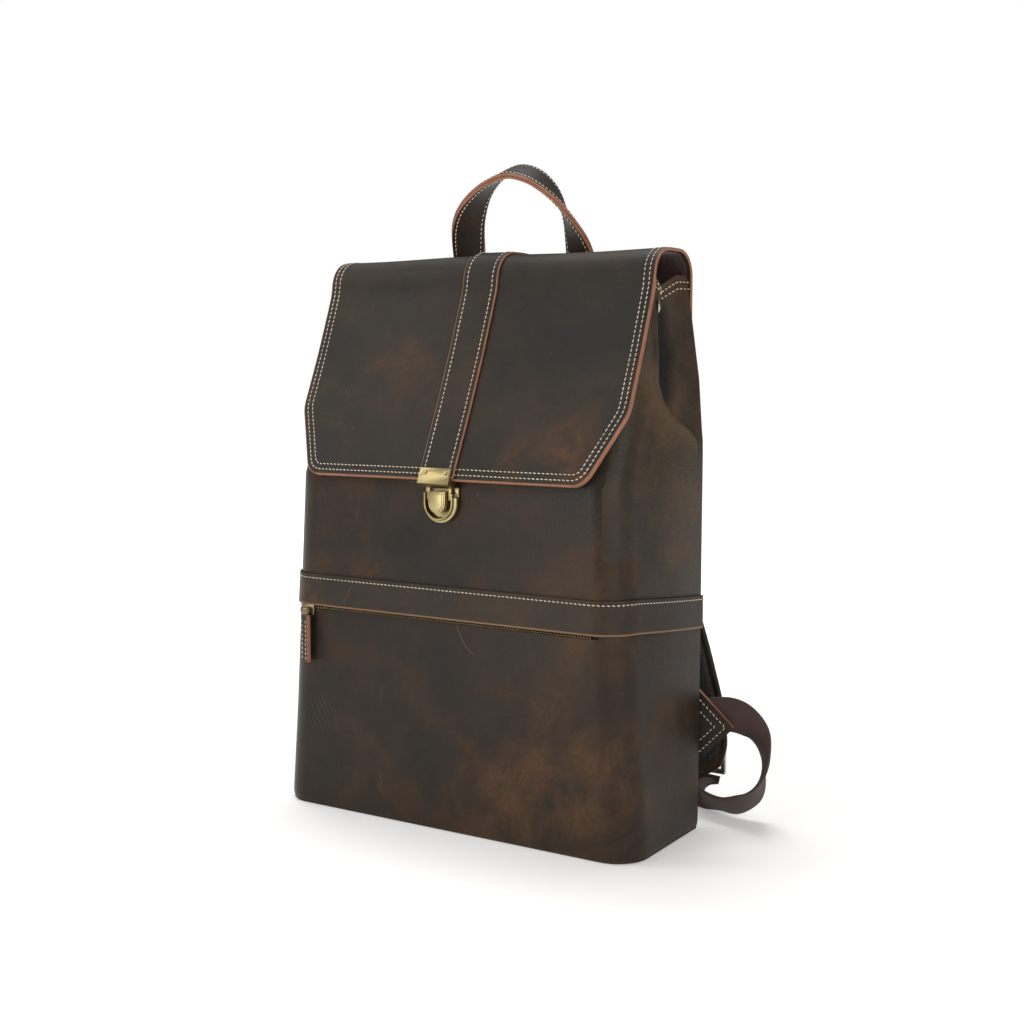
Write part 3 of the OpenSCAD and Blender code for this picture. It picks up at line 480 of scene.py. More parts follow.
SEAM_Z = 149.5
heights = [0.5, 0.9, 2.0, 4.0, 7.5, 14, 24, 36, 50, 66, 84, 102, 118, 132, 143, SEAM_Z]
tucks = [5.0, 2.6, 1.1, 0.4, 0.05] + [0] * 11
grid = np.array([around(z, t) for z, t in zip(heights, tucks)])
on_front = grid[-2:, :, 1] < -44
grid[-1, :, 2] -= 2.2 * on_front[1] * (np.abs(grid[-1, :, 0]) < 125)
grid[-1, :, 2] -= 2.2 * on_front[1] * (np.abs(grid[-1, :, 0] + 118) < 8)
lower_body = leather_sheet("lower_body_leather", grid, 2.2, shell_finish, shell_finish)
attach(lower_body, "bag")
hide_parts("lower_shell")

# ---- Base ----
# The underside is a plain panel of the same leather over a stiff board, sewn
# in along a narrow dark seam just above the floor.

base = make("base_leather", np.array([
    [x, y, z]
    for z, tuck in ((0.1, 8.0), (0.1, 3.0), (0.5, 1.2), (1.3, 0.6), (2.3, 1.0))
    for x, y, _ in around(2.0, 0.4 + tuck, folded=0)
]), [], [shell_finish])
columns = len(around(2.0, 0))
mesh = bmesh.new()
mesh.from_mesh(base.data)
mesh.verts.ensure_lookup_table()
for r in range(4):
    for c in range(columns):
        d = (c + 1) % columns
        mesh.faces.new([mesh.verts[i] for i in (
            r * columns + c, r * columns + d, (r + 1) * columns + d, (r + 1) * columns + c
        )])
mesh.faces.new([mesh.verts[c] for c in range(columns)])
mesh.faces.new([mesh.verts[4 * columns + c] for c in range(columns)])
bmesh.ops.recalc_face_normals(mesh, faces=mesh.faces)
for face in mesh.faces:
    face.smooth = len(face.verts) == 4
mesh.to_mesh(base.data)
mesh.free()
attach(base, "bag")
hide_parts("base_panel")

# ---- Upper body ----
# A second piece of the leather from the band up to the mouth. Its sides are the
# gussets, which fold inwards behind the front corner where the bag is closed.


def rim_height(y):
    return np.interp(y, [4, 12.5, 21, 42], [382, 384, 371, 384])


# The gussets take a lighter copy of the body leather: painted light on the sides, plus spots of
# painted shade in the hollows of their folds.
gusset_lit_and_shaded_finish = waxed_leather(
    "waxed_leather_gusset_painted_light_and_shade", (0.034, 0.027, 0.019), (0.060, 0.040, 0.024), (0.096, 0.060, 0.032),
    (0.15, 0.075, 0.030),
    patches=[((138, 10, 300), 70, 0.5), ((146, 0, 180), 60, 0.5)],
    grain=1.0, gloss=0.02, seed=0.4,
    painted_shade_spots=[((s * 116, 18, z), r) for s in (-1, 1) for z, r in ((352, 23), (330, 27), (308, 27))],
)
levels = np.concatenate([
    np.linspace(149.7, 255, 12), np.linspace(262, 300, 16), np.linspace(304, 382, 20)
])
grid = np.array([around(z, 0) for z in levels])
lift = ease(grid[:, :, 2], 318, 382)
grid[:, :, 2] += lift * (rim_height(grid[:, :, 1]) - 382)
upper_body = leather_sheet("upper_body_leather", grid, 2.2, shell_finish, edge_finish)
upper_body.data.materials.append(gusset_lit_and_shaded_finish)
# Sideways-facing faces of the gussets get the lighter copy: painted light.
for face in upper_body.data.polygons:
    if face.material_index == 0 and abs(face.center.x) > 0.1395 - 0.02 * (face.center.z > 0.2) \
            and abs(face.normal.x) > 0.45 and face.center.z > 0.16:
        face.material_index = 2
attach(upper_body, "bag")
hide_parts("upper_shell")

# ---- Linings inside ----
# Dark burgundy twill, hung inside the shell and folding with the gussets, hemmed
# round the mouth; the pockets inside are of the same cloth.


def twill(name, dark, light, threads=900, sheen=0.15):
    f = Finish(name)
    run = Wire(f.node("ShaderNodeTexWave", {"bands_direction": "DIAGONAL"}, {
        "Vector": f.where, "Scale": threads / 6.28, "Distortion": 1.2, "Detail": 1,
    }).outputs["Fac"])
    cross = Wire(f.node("ShaderNodeTexWave", {"bands_direction": "Z"}, {
        "Vector": f.where, "Scale": threads / 4, "Distortion": 0.8, "Detail": 1,
    }).outputs["Fac"])
    cloud = f.noise(30, 3)
    weave = run * 0.65 + cross * 0.35
    return f.surface(
        f.mix((weave * 0.7 + cloud * 0.4 - 0.1).kept(), dark, light), 0.85,
        f.bump(weave, 0.15, 0.5), sheen_weight=sheen,
    )


lining_finish = twill("burgundy_twill", (0.018, 0.006, 0.006), (0.060, 0.018, 0.018))
levels = np.concatenate([
    [6.0], np.linspace(20, 255, 12), np.linspace(262, 300, 16), np.linspace(304, 381, 20)
])
grid = np.array([around(z, 4.4, back=44.5) for z in levels])
grid[:, :, 2] += ease(grid[:, :, 2], 318, 381) * (rim_height(grid[:, :, 1]) - 382.5)
lining = leather_sheet("main_lining_cloth", grid, 0.7, lining_finish, lining_finish, 0.15)
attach(lining, "bag")
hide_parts("main_lining", "mouth_hem")


def dress(names, *finishes):
    """Gives CAD pieces that keep their shape their finish."""
    for name in names:
        for slot, finish in zip(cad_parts[name].material_slots, finishes):
            slot.material = finish


board_finish = Finish("grey_board")
dress(("base_board",), board_finish.surface(
    board_finish.mix(board_finish.noise(160, 4), (0.10, 0.09, 0.08), (0.17, 0.155, 0.135)), 0.9,
    board_finish.bump(board_finish.noise(300, 4), 0.2, 0.5),
))
foam_finish = Finish("cut_foam")
foam_pores = foam_finish.surface(
    foam_finish.mix(foam_finish.noise(500, 3), (0.03, 0.03, 0.03), (0.07, 0.07, 0.07)), 0.95,
    foam_finish.bump(foam_finish.cells(700), 0.3, 0.7),
)

# ---- Stitches ----
# Thick waxed cream thread, saddle-sewn at about six stitches to the inch. Each
# stitch is a short slightly slanted grain of thread that sinks at both ends.


def thread_finish():
    f = Finish("cream_waxed_thread")
    twist = Wire(f.node("ShaderNodeTexWave", {"bands_direction": "DIAGONAL"}, {
        "Vector": f.where, "Scale": 700, "Distortion": 0.6,
    }).outputs["Fac"])
    cloud = f.noise(55, 3)
    colour = f.mix((cloud * 1.4 - 0.35).kept(), (0.45, 0.36, 0.26), (0.82, 0.73, 0.60))
    return f.surface(colour, 0.6, f.bump(twist, 0.1, 0.6))


def sewing():
    tree = bpy.data.node_groups.new("sewn_row", "GeometryNodeTree")
    face = tree.interface
    face.new_socket("Row", in_out="INPUT", socket_type="NodeSocketGeometry")
    spacing = face.new_socket("Spacing", in_out="INPUT", socket_type="NodeSocketFloat")
    length = face.new_socket("Stitch length", in_out="INPUT", socket_type="NodeSocketFloat")
    width = face.new_socket("Thread width", in_out="INPUT", socket_type="NodeSocketFloat")
    thread = face.new_socket("Thread", in_out="INPUT", socket_type="NodeSocketMaterial")
    face.new_socket("Stitches", in_out="OUTPUT", socket_type="NodeSocketGeometry")

    def node(kind, settings=(), values=()):
        made = tree.nodes.new(kind)
        for key, value in dict(settings).items():
            setattr(made, key, value)
        for key, value in dict(values).items():
            if isinstance(value, bpy.types.NodeSocket):
                tree.links.new(value, made.inputs[key])
            else:
                made.inputs[key].default_value = value
        return made

    given = node("NodeGroupInput").outputs
    curve = node("GeometryNodeMeshToCurve", {}, {"Mesh": given["Row"]})
    even = node("GeometryNodeResampleCurve", {"mode": "LENGTH"}, {
        "Curve": curve.outputs[0], "Length": given["Spacing"],
    })
    out = node("GeometryNodeInputNamedAttribute", {"data_type": "FLOAT_VECTOR"}, {"Name": "out"})
    along = node("GeometryNodeInputTangent")
    lie = node("FunctionNodeAxesToRotation", {"primary_axis": "Z", "secondary_axis": "X"}, {
        0: out.outputs["Attribute"], 1: along.outputs[0],
    })
    slant = node("FunctionNodeRandomValue", {"data_type": "FLOAT"}, {
        2: -0.22, 3: -0.05, "Seed": 11,
    })
    turn = node("ShaderNodeCombineXYZ", {}, {"Z": slant.outputs[1]})
    lean = node("FunctionNodeEulerToRotation", {}, {0: turn.outputs[0]})
    both = node("FunctionNodeRotateRotation", {"rotation_space": "LOCAL"}, {
        "Rotation": lie.outputs[0], "Rotate By": lean.outputs[0],
    })
    grain = node("GeometryNodeMeshUVSphere", {}, {"Segments": 8, "Rings": 5, "Radius": 0.5})
    shape = node("ShaderNodeCombineXYZ", {}, {
        "X": given["Stitch length"], "Y": given["Thread width"], "Z": given["Thread width"],
    })
    laid = node("GeometryNodeInstanceOnPoints", {}, {
        "Points": even.outputs[0], "Instance": grain.outputs[0],
        "Rotation": both.outputs[0], "Scale": shape.outputs[0],
    })
    real = node("GeometryNodeRealizeInstances", {}, {0: laid.outputs[0]})
    smooth = node("GeometryNodeSetShadeSmooth", {}, {0: real.outputs[0]})
    done = node("GeometryNodeSetMaterial", {}, {0: smooth.outputs[0], "Material": given["Thread"]})
    node("NodeGroupOutput", {}, {0: done.outputs[0]})
    return tree, spacing.identifier, length.identifier, width.identifier, thread.identifier


SEWN_ROW, SPACING, STITCH, THREAD_WIDTH, THREAD = sewing()
cream_thread = thread_finish()


def sew(name, rows, spacing=3.3, length=2.5, width=0.8):
    """Stitches along rows of (points, outward directions), in millimetres."""
    points, outs, edges = [], [], []
    for line, out in rows:
        line, out = np.asarray(line, float), np.asarray(out, float)
        out = out / np.linalg.norm(out, axis=1)[:, None]
        edges += [(len(points) + i, len(points) + i + 1) for i in range(len(line) - 1)]
        points += list(line)
        outs += list(out)
    mesh = bpy.data.meshes.new(name)
    mesh.from_pydata([tuple(p) for p in np.array(points) * MM], edges, [])
    store = mesh.attributes.new("out", "FLOAT_VECTOR", "POINT")
    store.data.foreach_set("vector", np.array(outs).ravel())
    piece = bpy.data.objects.new(name, mesh)
    bpy.context.collection.objects.link(piece)
    mod = piece.modifiers.new("stitches", "NODES")
    mod.node_group = SEWN_ROW
    mod[SPACING], mod[STITCH], mod[THREAD_WIDTH] = spacing * MM, length * MM, width * MM
    mod[THREAD] = cream_thread
    settle(piece)
    if "out" in piece.data.attributes:
        piece.data.attributes.remove(piece.data.attributes["out"])
    return piece


def outwards(line):
    """Level outward directions for a row that runs round the body."""
    step = np.gradient(line, axis=0)
    return np.column_stack([step[:, 1], -step[:, 0], np.full(len(line), 1e-4)])


# ---- Trim band ----
# A strap of the same leather, 22 mm wide, laid over the join of the two body
# pieces above the pocket zip and sewn along its top edge.

BAND = (150.0, 172.5)


def dropped(points):
    """The band runs a little lower towards the back."""
    points = np.array(points)
    points[..., 2] -= 6.5 * np.clip((points[..., 1] + 30) / 81, 0, 1)
    return points


# Its hem line is lighter: the worn edge, and a painted highlight on it.
band_finish = waxed_leather(
    "waxed_leather_band", (0.028, 0.025, 0.023), (0.046, 0.031, 0.020), (0.068, 0.042, 0.024),
    (0.15, 0.068, 0.026), patches=[((-125, -50, 155), 50, 1.2), ((140, 0, 155), 50, 0.4)],
    nicks=[((-112, 176), 34, (-83, -52, 159), 9, 0.25)], seed=5.2, hem=150.1,
)
levels = [BAND[0] - 0.6, BAND[0], 151.5, 156, 163, 169, BAND[1] - 0.8, BAND[1]]
bulge = [-1.9, -1.9, -1.9, -1.85, -1.8, -1.7, -1.75, -1.6]
grid = dropped([around(z, t) for z, t in zip(levels, bulge)])
band = leather_sheet("trim_band_leather", grid, 1.5, band_finish, band_finish, 0.35)
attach(band, "bag")
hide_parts("trim_band")
row = dropped(around(BAND[1] - 3.0, -1.75))
band_stitches = sew("trim_band_stitches", [(row, outwards(row))])
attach(band_stitches, "bag")

# ---- Mouth rim stitches ----
# Two rows of the same thread round each gusset's rim, just under the mouth; they
# hold the turned edge of the leather and the hem of the lining together.

rows = []
for level in (377.5, 373.0):
    row = np.array([
        [x, y, z + ease(z, 318, 382) * (rim_height(y) - 382)] for x, y, z in around(level, -0.1)
    ])
    rows += [(part, outwards(part)) for part in (row[:50], row[-50:])]
rim_stitches = sew("gusset_rim_stitches", rows)
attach(rim_stitches, "bag")

# ---- Back ----
# A smooth panel of darker leather, sewn to the body along its edges, with a
# yoke across the top over the roots of the straps and handle.

back_finish = waxed_leather(
    "waxed_leather_back", (0.022, 0.019, 0.017), (0.036, 0.025, 0.018), (0.055, 0.034, 0.020),
    (0.115, 0.054, 0.022), patches=[((0, 51, 120), 90, 0.4), ((90, 51, 60), 60, 0.5)], seed=1.7,
)


def bevelled(node, width, finish, rim=None, across=None, segments=3, name=None):
    """A CAD piece with its edges eased, as a new mesh."""
    mesh = bmesh.new()
    mesh.from_mesh(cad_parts[node].data)
    bmesh.ops.remove_doubles(mesh, verts=mesh.verts, dist=2e-5)
    bmesh.ops.dissolve_limit(mesh, angle_limit=math.radians(1), verts=mesh.verts, edges=mesh.edges)
    data = bpy.data.meshes.new(name or node + "_finished")
    mesh.to_mesh(data)
    mesh.free()
    data.materials.clear()
    data.materials.append(finish)
    if rim:
        data.materials.append(rim)
        across = Vector(across).normalized() if across else None
        for face in data.polygons:
            face.material_index = int(abs(face.normal.dot(across)) < 0.6)
    else:
        for face in data.polygons:
            face.material_index = 0
    piece = bpy.data.objects.new(name or node + "_finished", data)
    bpy.context.collection.objects.link(piece)
    mod = piece.modifiers.new("eased edges", "BEVEL")
    mod.width, mod.segments, mod.limit_method = width * MM, segments, "ANGLE"
    mod.angle_limit = math.radians(35)
    settle(piece)
    piece.data.polygons.foreach_set("use_smooth", [True] * len(piece.data.polygons))
    piece.data.set_sharp_from_angle(angle=math.radians(32))
    return piece


back_panel = bevelled("back_panel", 0.4, back_finish)
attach(back_panel, "bag")
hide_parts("back_panel")
yoke = bevelled("back_yoke", 0.5, back_finish, edge_finish, (0, 1, 0))
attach(yoke, "bag")
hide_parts("back_yoke")
strap_tops = bevelled("strap_tops", 0.5, back_finish, edge_finish, (0, 1, 0))
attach(strap_tops, "bag")
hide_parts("strap_tops")


def loop_on(y, corners, radius, rise=(0, 1, 0)):
    """A row of stitches round a shape with rounded corners that lies flat at depth y."""
    line = []
    count = len(corners)
    for i, (x, z) in enumerate(corners):
        here = np.array([x, z], float)
        before = np.array(corners[i - 1], float) - here
        after = np.array(corners[(i + 1) % count], float) - here
        start = here + before / np.linalg.norm(before) * radius
        end = here + after / np.linalg.norm(after) * radius
        for t in np.linspace(0, 1, 6):
            spot = (1 - t) ** 2 * start + 2 * t * (1 - t) * here + t * t * end
            line.append([spot[0], y, spot[1]])
    line.append(line[0])
    return np.array(line), np.tile(rise, (len(line), 1))


back_stitches = sew("back_stitches", [
    loop_on(60.95, [(-101, 368), (101, 368), (101, 322.5), (-101, 322.5)], 10),
    loop_on(51.05, [(-140.5, 250), (-139.5, 40), (-139, 9), (139, 9), (139.5, 40), (140.5, 250),
                    (138, 300), (135, 316), (-135, 316), (-138, 300)], 5),
])
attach(back_stitches, "bag")

# ---- Pockets and back padding ----
# The front pocket's lining, the laptop sleeve and the organizer pocket are cut
# from the lining cloth; a foam sheet lies between the back panel and the lining.

for node in ("pocket_lining", "laptop_sleeve", "organizer_pocket"):
    pocket_cloth = bevelled(node, 0.15, lining_finish, segments=2)
    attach(pocket_cloth, "bag")
    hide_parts(node)
padding = bevelled("back_padding", 1.2, foam_pores)
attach(padding, "bag")
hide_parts("back_padding")

# ---- Flap ----
# One long piece of leather, 2.2 mm thick, sewn to the back below the straps. It
# rolls forward over the mouth and hangs down the front, faced and lined behind.


def flap_line():
    """The outside of the flap from its free edge up, over and down the back."""
    front = [(-55.8, 246), (-48.41, 262.3), (-41.01, 278.6), (-34.25, 293.6), (-25.75, 314),
             (-18.95, 330.3), (-12.23, 348), (-6.54, 363), (-1.9, 376)]
    front_turn = [
        (19 - 20 * math.cos(a), 381.2 + 20 * math.sin(a)) for a in np.linspace(0.08, 1.57, 12)
    ]
    back_turn = [
        (36.1 + 18 * math.sin(a), 383.2 + 18 * math.cos(a)) for a in np.linspace(0, 1.57, 12)
    ]
    rough = np.array(front + front_turn + [(27.5, 401.3)] + back_turn + [(54.1, 350), (54.1, 318)])
    reach = np.concatenate([[0], np.cumsum(np.linalg.norm(np.diff(rough, axis=0), axis=1))])
    even = np.linspace(0, reach[-1], 400)
    smooth = np.column_stack([np.interp(even, reach, rough[:, i]) for i in (0, 1)])
    kernel = np.hanning(15) / np.hanning(15).sum()
    padded = np.pad(smooth, ((7, 7), (0, 0)), mode="reflect", reflect_type="odd")
    smooth = np.column_stack([np.convolve(padded[:, i], kernel, "valid") for i in (0, 1)])
    return even, smooth


FLAP_S, FLAP_YZ = flap_line()
FLAP_LENGTH = FLAP_S[-1]
SHOULDER = float(np.interp(293.5, FLAP_YZ[:150, 1], FLAP_S[:150]))


def flap_half(s):
    """Half the flap's width at s along it: straight sides, cut in below the shoulders."""
    return np.interp(
        np.asarray(s) / SHOULDER * 100,
        [0, 2.2, 5, 9, 15, 88, 95, 101, 108, 116],
        [107, 111, 113.8, 116, 118.4, 134.6, 136, 136.7, 137, 137],
    )


def flap_point(x, s, lift=0.0):
    """A point on the flap, lifted off its outer face, in millimetres."""
    x, s = np.asarray(x, float), np.asarray(s, float)
    y, z = (np.interp(s, FLAP_S, FLAP_YZ[:, i]) for i in (0, 1))
    dy, dz = (np.interp(s, FLAP_S, np.gradient(FLAP_YZ[:, i], FLAP_S)) for i in (0, 1))
    scale = np.hypot(dy, dz)
    ny, nz = -dz / scale, dy / scale
    free = ease(-s, -330, -60) * ease(s, -60, 120)
    sag = 0.9 * free * (np.cos(x / 137 * math.pi * 1.5 + 0.6) - 0.6)
    return np.stack([x, y + ny * (lift + sag), z + nz * (lift + sag)], -1), \
        np.stack([x * 0, ny, nz], -1)


def flap_grid(half, low, high, lift, rows=90, columns=56):
    s = np.concatenate([np.linspace(low, low + 8, 9)[:-1], np.linspace(low + 8, high, rows)])
    across = np.linspace(-1, 1, columns)
    across = np.sign(across) * np.abs(across) ** 0.9
    x = np.outer(half(s), across)
    return flap_point(x, np.repeat(s[:, None], columns, 1), lift)[0]


flap_finish = waxed_leather(
    "waxed_leather_flap", (0.024, 0.022, 0.019), (0.036, 0.028, 0.021), (0.054, 0.037, 0.024),
    (0.130, 0.060, 0.026),
    patches=[((100, -48, 262), 34, 1.3), ((-110, -45, 290), 40, 0.5), ((60, -52, 256), 30, 0.6),
             ((-60, -20, 330), 50, 0.4), ((110, 10, 398), 50, 0.4)],
    grain=0.9, gloss=-0.08, seed=2.3,
)
flap = leather_sheet(
    "flap_leather_skin", flap_grid(flap_half, 0, FLAP_LENGTH, 0.0), 2.2,
    flap_finish, edge_finish, 0.95,
)
facing = leather_sheet(
    "flap_facing_leather",
    flap_grid(lambda s: flap_half(s) - 0.4, 0.4, FLAP_LENGTH - 145, -2.25, 60), 1.7,
    flap_finish, edge_finish, 0.6,
)
cloth_grid = flap_grid(
    lambda s: flap_half(np.clip(s - 28, 0, 999)) - 29, 29, FLAP_LENGTH - 146, -4.0, 60, 40
)
flap_cloth = leather_sheet(
    "flap_lining_cloth", cloth_grid,
    0.6, lining_finish, lining_finish, 0.15,
)
roll_grid = flap_grid(
    lambda s: 0 * s + 133.5, FLAP_LENGTH - 144, FLAP_LENGTH - 3, -2.3, 60, 40
)
roll_cloth = leather_sheet(
    "flap_roll_cloth", roll_grid,
    0.5, lining_finish, lining_finish, 0.15,
)
for piece, node, slot in (
    (flap, ("flap_leather", "flap_roll"), "flap_leather"),
    (roll_cloth, ("flap_roll_lining",), "lining_fabric"),
    (facing, ("flap_facing",), "flap_leather"), (flap_cloth, ("flap_lining",), "lining_fabric"),
):
    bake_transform(piece)
    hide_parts(*node)

# ---- Centre strip and flap stitches ----
# A second layer of the leather, 29 mm wide, runs down the middle of the flap and
# over the roll, sewn along both edges. Two rows of thread follow the flap's border.

STRIP_HALF = 14.5
strip = leather_sheet(
    "flap_centre_strip_leather",
    flap_grid(lambda s: 0 * s + STRIP_HALF, 1.0, FLAP_LENGTH - 1, 1.9, 100, 9), 1.85,
    flap_finish, edge_finish, 0.8,
)
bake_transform(strip)
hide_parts("flap_centre_strip", "roll_centre_strip")


def flap_border(inset):
    """A row parallel to the flap's edge: down one side, along the free edge and up the other."""
    s = np.concatenate([np.linspace(FLAP_LENGTH - 4, 12, 150), np.linspace(11.5, 0, 24)])
    side = np.column_stack([flap_half(s), s])
    free_edge = [[x, 0] for x in np.linspace(106, -106, 90)]
    edge = np.concatenate([side, free_edge, side[::-1] * [-1, 1]])
    step = np.gradient(edge, axis=0)
    inward = np.column_stack([step[:, 1], -step[:, 0]])
    inward /= np.linalg.norm(inward, axis=1)[:, None]
    moved = edge + inward * inset
    gap = np.linalg.norm(moved[:, None] - edge[None], axis=2).min(1)
    return moved[gap > inset - 0.05]


def on_flap(line, lift):
    return flap_point(line[:, 0], line[:, 1], lift)


rows = [on_flap(flap_border(inset), 0.05) for inset in (4.0, 8.0)]
s = np.linspace(6, FLAP_LENGTH - 4, 200)
rows += [on_flap(np.column_stack([s * 0 + x, s]), 1.95) for x in (-10.4, 10.4)]
flap_stitches = sew("flap_stitches", rows)
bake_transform(flap_stitches)

# ---- Brass lock ----
# A push lock in brushed antique brass: the clasp is riveted through the flap's
# edge, the body and its button to the front of the bag.


def metal(name, dark, light, roughness=0.32, brush=(1, 1, 60), shade=0.5):
    f = Finish(name)
    cloud = f.noise(60, 4, 0.6)
    brushed = f.noise(160, 3, 0.6, 0, f.stretched(brush))
    stain = f.noise(260, 3, 0.7)
    share = (cloud * 0.9 + brushed * 0.5 - 0.3).kept()
    return f.surface(
        f.mix(share, dark, light),
        (roughness + (brushed - 0.5) * 0.25 + (stain - 0.5) * 0.15).kept(),
        f.bump(brushed, 0.05, shade), metallic=1.0,
    )


brass = metal("brushed_antique_brass", (0.22, 0.175, 0.08), (0.50, 0.41, 0.21), 0.38)
nickel = metal("snap_nickel", (0.30, 0.29, 0.27), (0.62, 0.60, 0.56), 0.3)
steel = metal("spring_steel_finish", (0.30, 0.31, 0.32), (0.55, 0.56, 0.57), 0.3)
for node, width, body in (
    ("lock_clasp", 0.9, "flap"), ("lock_body", 0.7, "bag"), ("lock_button", 1.0, "lock_button"),
):
    part = bevelled(node, width, brass)
    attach(part, body)
    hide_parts(node)
dress(("lock_clasp_rivets", "lock_back_plate", "lock_rivets"), brass)

# ---- Lock spring ----
# A steel coil behind the button, held at its back end by the back plate. It is
# given a mesh of its own.

spring = bevelled("lock_spring", 0.1, steel, segments=1)
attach(spring, "bag")
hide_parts("lock_spring")
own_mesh(spring)

# ---- Pocket zip ----
# A metal zip under the band: woven tape, two rows of teeth, a slider with a wire
# hook and a long pull of two layers of leather.

ZIP_Z, TEETH_Y, TEETH_X = 146.0, -48.3, 117.0
tape_finish = twill("zip_tape_weave", (0.020, 0.013, 0.010), (0.055, 0.036, 0.026), 1100, 0.05)
tooth_metal = metal("zip_tooth_brass", (0.13, 0.10, 0.05), (0.34, 0.27, 0.15), 0.38)
dress(("zip_tape",), tape_finish)


def teeth():
    tree = bpy.data.node_groups.new("zip_teeth", "GeometryNodeTree")
    face = tree.interface
    face.new_socket("Row", in_out="INPUT", socket_type="NodeSocketGeometry")
    pitch = face.new_socket("Pitch", in_out="INPUT", socket_type="NodeSocketFloat")
    size = face.new_socket("Tooth size", in_out="INPUT", socket_type="NodeSocketVector")
    finish = face.new_socket("Tooth metal", in_out="INPUT", socket_type="NodeSocketMaterial")
    face.new_socket("Teeth", in_out="OUTPUT", socket_type="NodeSocketGeometry")
    add, link = tree.nodes.new, tree.links.new
    given = add("NodeGroupInput").outputs
    curve, even, place, real, smooth, colour = (add(kind) for kind in (
        "GeometryNodeMeshToCurve", "GeometryNodeResampleCurve", "GeometryNodeInstanceOnPoints",
        "GeometryNodeRealizeInstances", "GeometryNodeSetShadeSmooth", "GeometryNodeSetMaterial",
    ))
    tooth = add("GeometryNodeMeshUVSphere")
    tooth.inputs["Segments"].default_value, tooth.inputs["Rings"].default_value = 6, 5
    tooth.inputs["Radius"].default_value = 0.5
    even.mode = "LENGTH"
    link(given["Row"], curve.inputs[0])
    link(curve.outputs[0], even.inputs["Curve"])
    link(given["Pitch"], even.inputs["Length"])
    link(even.outputs[0], place.inputs["Points"])
    link(tooth.outputs[0], place.inputs["Instance"])
    link(given["Tooth size"], place.inputs["Scale"])
    link(place.outputs[0], real.inputs[0])
    link(real.outputs[0], smooth.inputs[0])
    link(smooth.outputs[0], colour.inputs[0])
    link(given["Tooth metal"], colour.inputs["Material"])
    output = add("NodeGroupOutput")
    link(colour.outputs[0], output.inputs[0])
    return tree, pitch.identifier, size.identifier, finish.identifier


TEETH_TREE, PITCH, TOOTH_SIZE, TOOTH_METAL = teeth()
for side, node, offset in ((1, "zip_coil_upper", 0.0), (-1, "zip_coil_lower", 1.1)):
    z = ZIP_Z + side * 1.25
    mesh = bpy.data.meshes.new(node + "_teeth")
    mesh.from_pydata(
        [((x * TEETH_X + offset) * MM, TEETH_Y * MM, z * MM) for x in (-1, 1)], [(0, 1)], []
    )
    row = bpy.data.objects.new(node + "_teeth", mesh)
    bpy.context.collection.objects.link(row)
    mod = row.modifiers.new("teeth", "NODES")
    mod.node_group = TEETH_TREE
    mod[PITCH], mod[TOOTH_METAL] = 2.2 * MM, tooth_metal
    mod[TOOTH_SIZE] = (1.7 * MM, 1.8 * MM, 3.2 * MM)
    settle(row)
    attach(row, "bag")
    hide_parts(*((node, "zip_end_stops") if side > 0 else (node,)))
for node, width, body in (("zip_slider", 0.5, "zip_slider"), ("zip_pull_hook", 0.3, "zip_pull")):
    part = bevelled(node, width, tooth_metal)
    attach(part, body)
    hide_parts(node)
pull = bevelled("zip_pull_tab", 0.45, flap_finish, edge_finish, (0, 1, 0))
low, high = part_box("zip_pull_tab")
middle = (low.x + high.x) / 2 / MM
pull_stitches = sew("zip_pull_stitches", [
    (np.array([[middle + x, y, z] for z in np.linspace(high.z / MM - 5, low.z / MM + 3, 12)]),
     np.tile([0, rise, 0], (12, 1)))
    for x in (-2.9, 2.9) for y, rise in ((low.y / MM - 0.05, -1), (high.y / MM + 0.05, 1))
], 3.2, 2.4, 0.75)
for piece in (pull, pull_stitches):
    hang = Matrix.Translation(((low.x + high.x) / 2, (low.y + high.y) / 2, 0))
    piece.data.transform(hang @ Matrix.Rotation(math.radians(-24), 4, "Z") @ hang.inverted())
    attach(piece, "zip_pull")
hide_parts("zip_pull_tab")

# ---- Carrying handle ----
# Two layers of leather over a webbing core, 25 mm wide, sewn along both edges.
# Its ends go flat against the back under the yoke.

HANDLE_HALF = [
    (48, 56.4, 351, 1, 0, 0), (48, 56.4, 374.2, 1, 0, 0), (48, 56, 388, 1, -0.03, 0),
    (47.4, 52, 406.5, 0.955, -0.29, -0.04), (41, 43.4, 431, 0.52, -0.85, 0),
    (28.8, 40.6, 448, 0.1, -0.98, -0.16), (14.2, 40.4, 458.2, 0.02, -0.94, -0.34),
]
HANDLE = np.array(
    [(-x, y, z, w, -v, -u) for x, y, z, w, v, u in HANDLE_HALF]
    + [(0, 40.5, 462, 0, 0.924, 0.382)]
    + [(x, y, z, w, v, u) for x, y, z, w, v, u in HANDLE_HALF[::-1]], float
)


def spline(rows, count):
    """Rows of numbers resampled evenly on a smooth curve through them."""
    rows = np.asarray(rows, float)
    reach = np.concatenate([[0], np.cumsum(np.linalg.norm(np.diff(rows[:, :3], axis=0), axis=1))])
    slope = np.gradient(rows, reach, axis=0)
    even = np.linspace(0, reach[-1], count)
    i = np.clip(np.searchsorted(reach, even) - 1, 0, len(rows) - 2)
    span = (reach[i + 1] - reach[i])[:, None]
    t = ((even - reach[i])[:, None]) / span
    return (
        (2 * t**3 - 3 * t**2 + 1) * rows[i] + (t**3 - 2 * t**2 + t) * span * slope[i]
        + (3 * t**2 - 2 * t**3) * rows[i + 1] + (t**3 - t**2) * span * slope[i + 1]
    ), even


def ribbon_frame(rows, count):
    """Middle line, across and outward directions of a ribbon."""
    made, reach = spline(rows, count)
    middle, across = made[:, :3], made[:, 3:6]
    along = np.gradient(middle, axis=0)
    along /= np.linalg.norm(along, axis=1)[:, None]
    across = across - along * (across * along).sum(1)[:, None]
    across /= np.linalg.norm(across, axis=1)[:, None]
    out = np.cross(across, along)
    return middle, across, out, made, reach


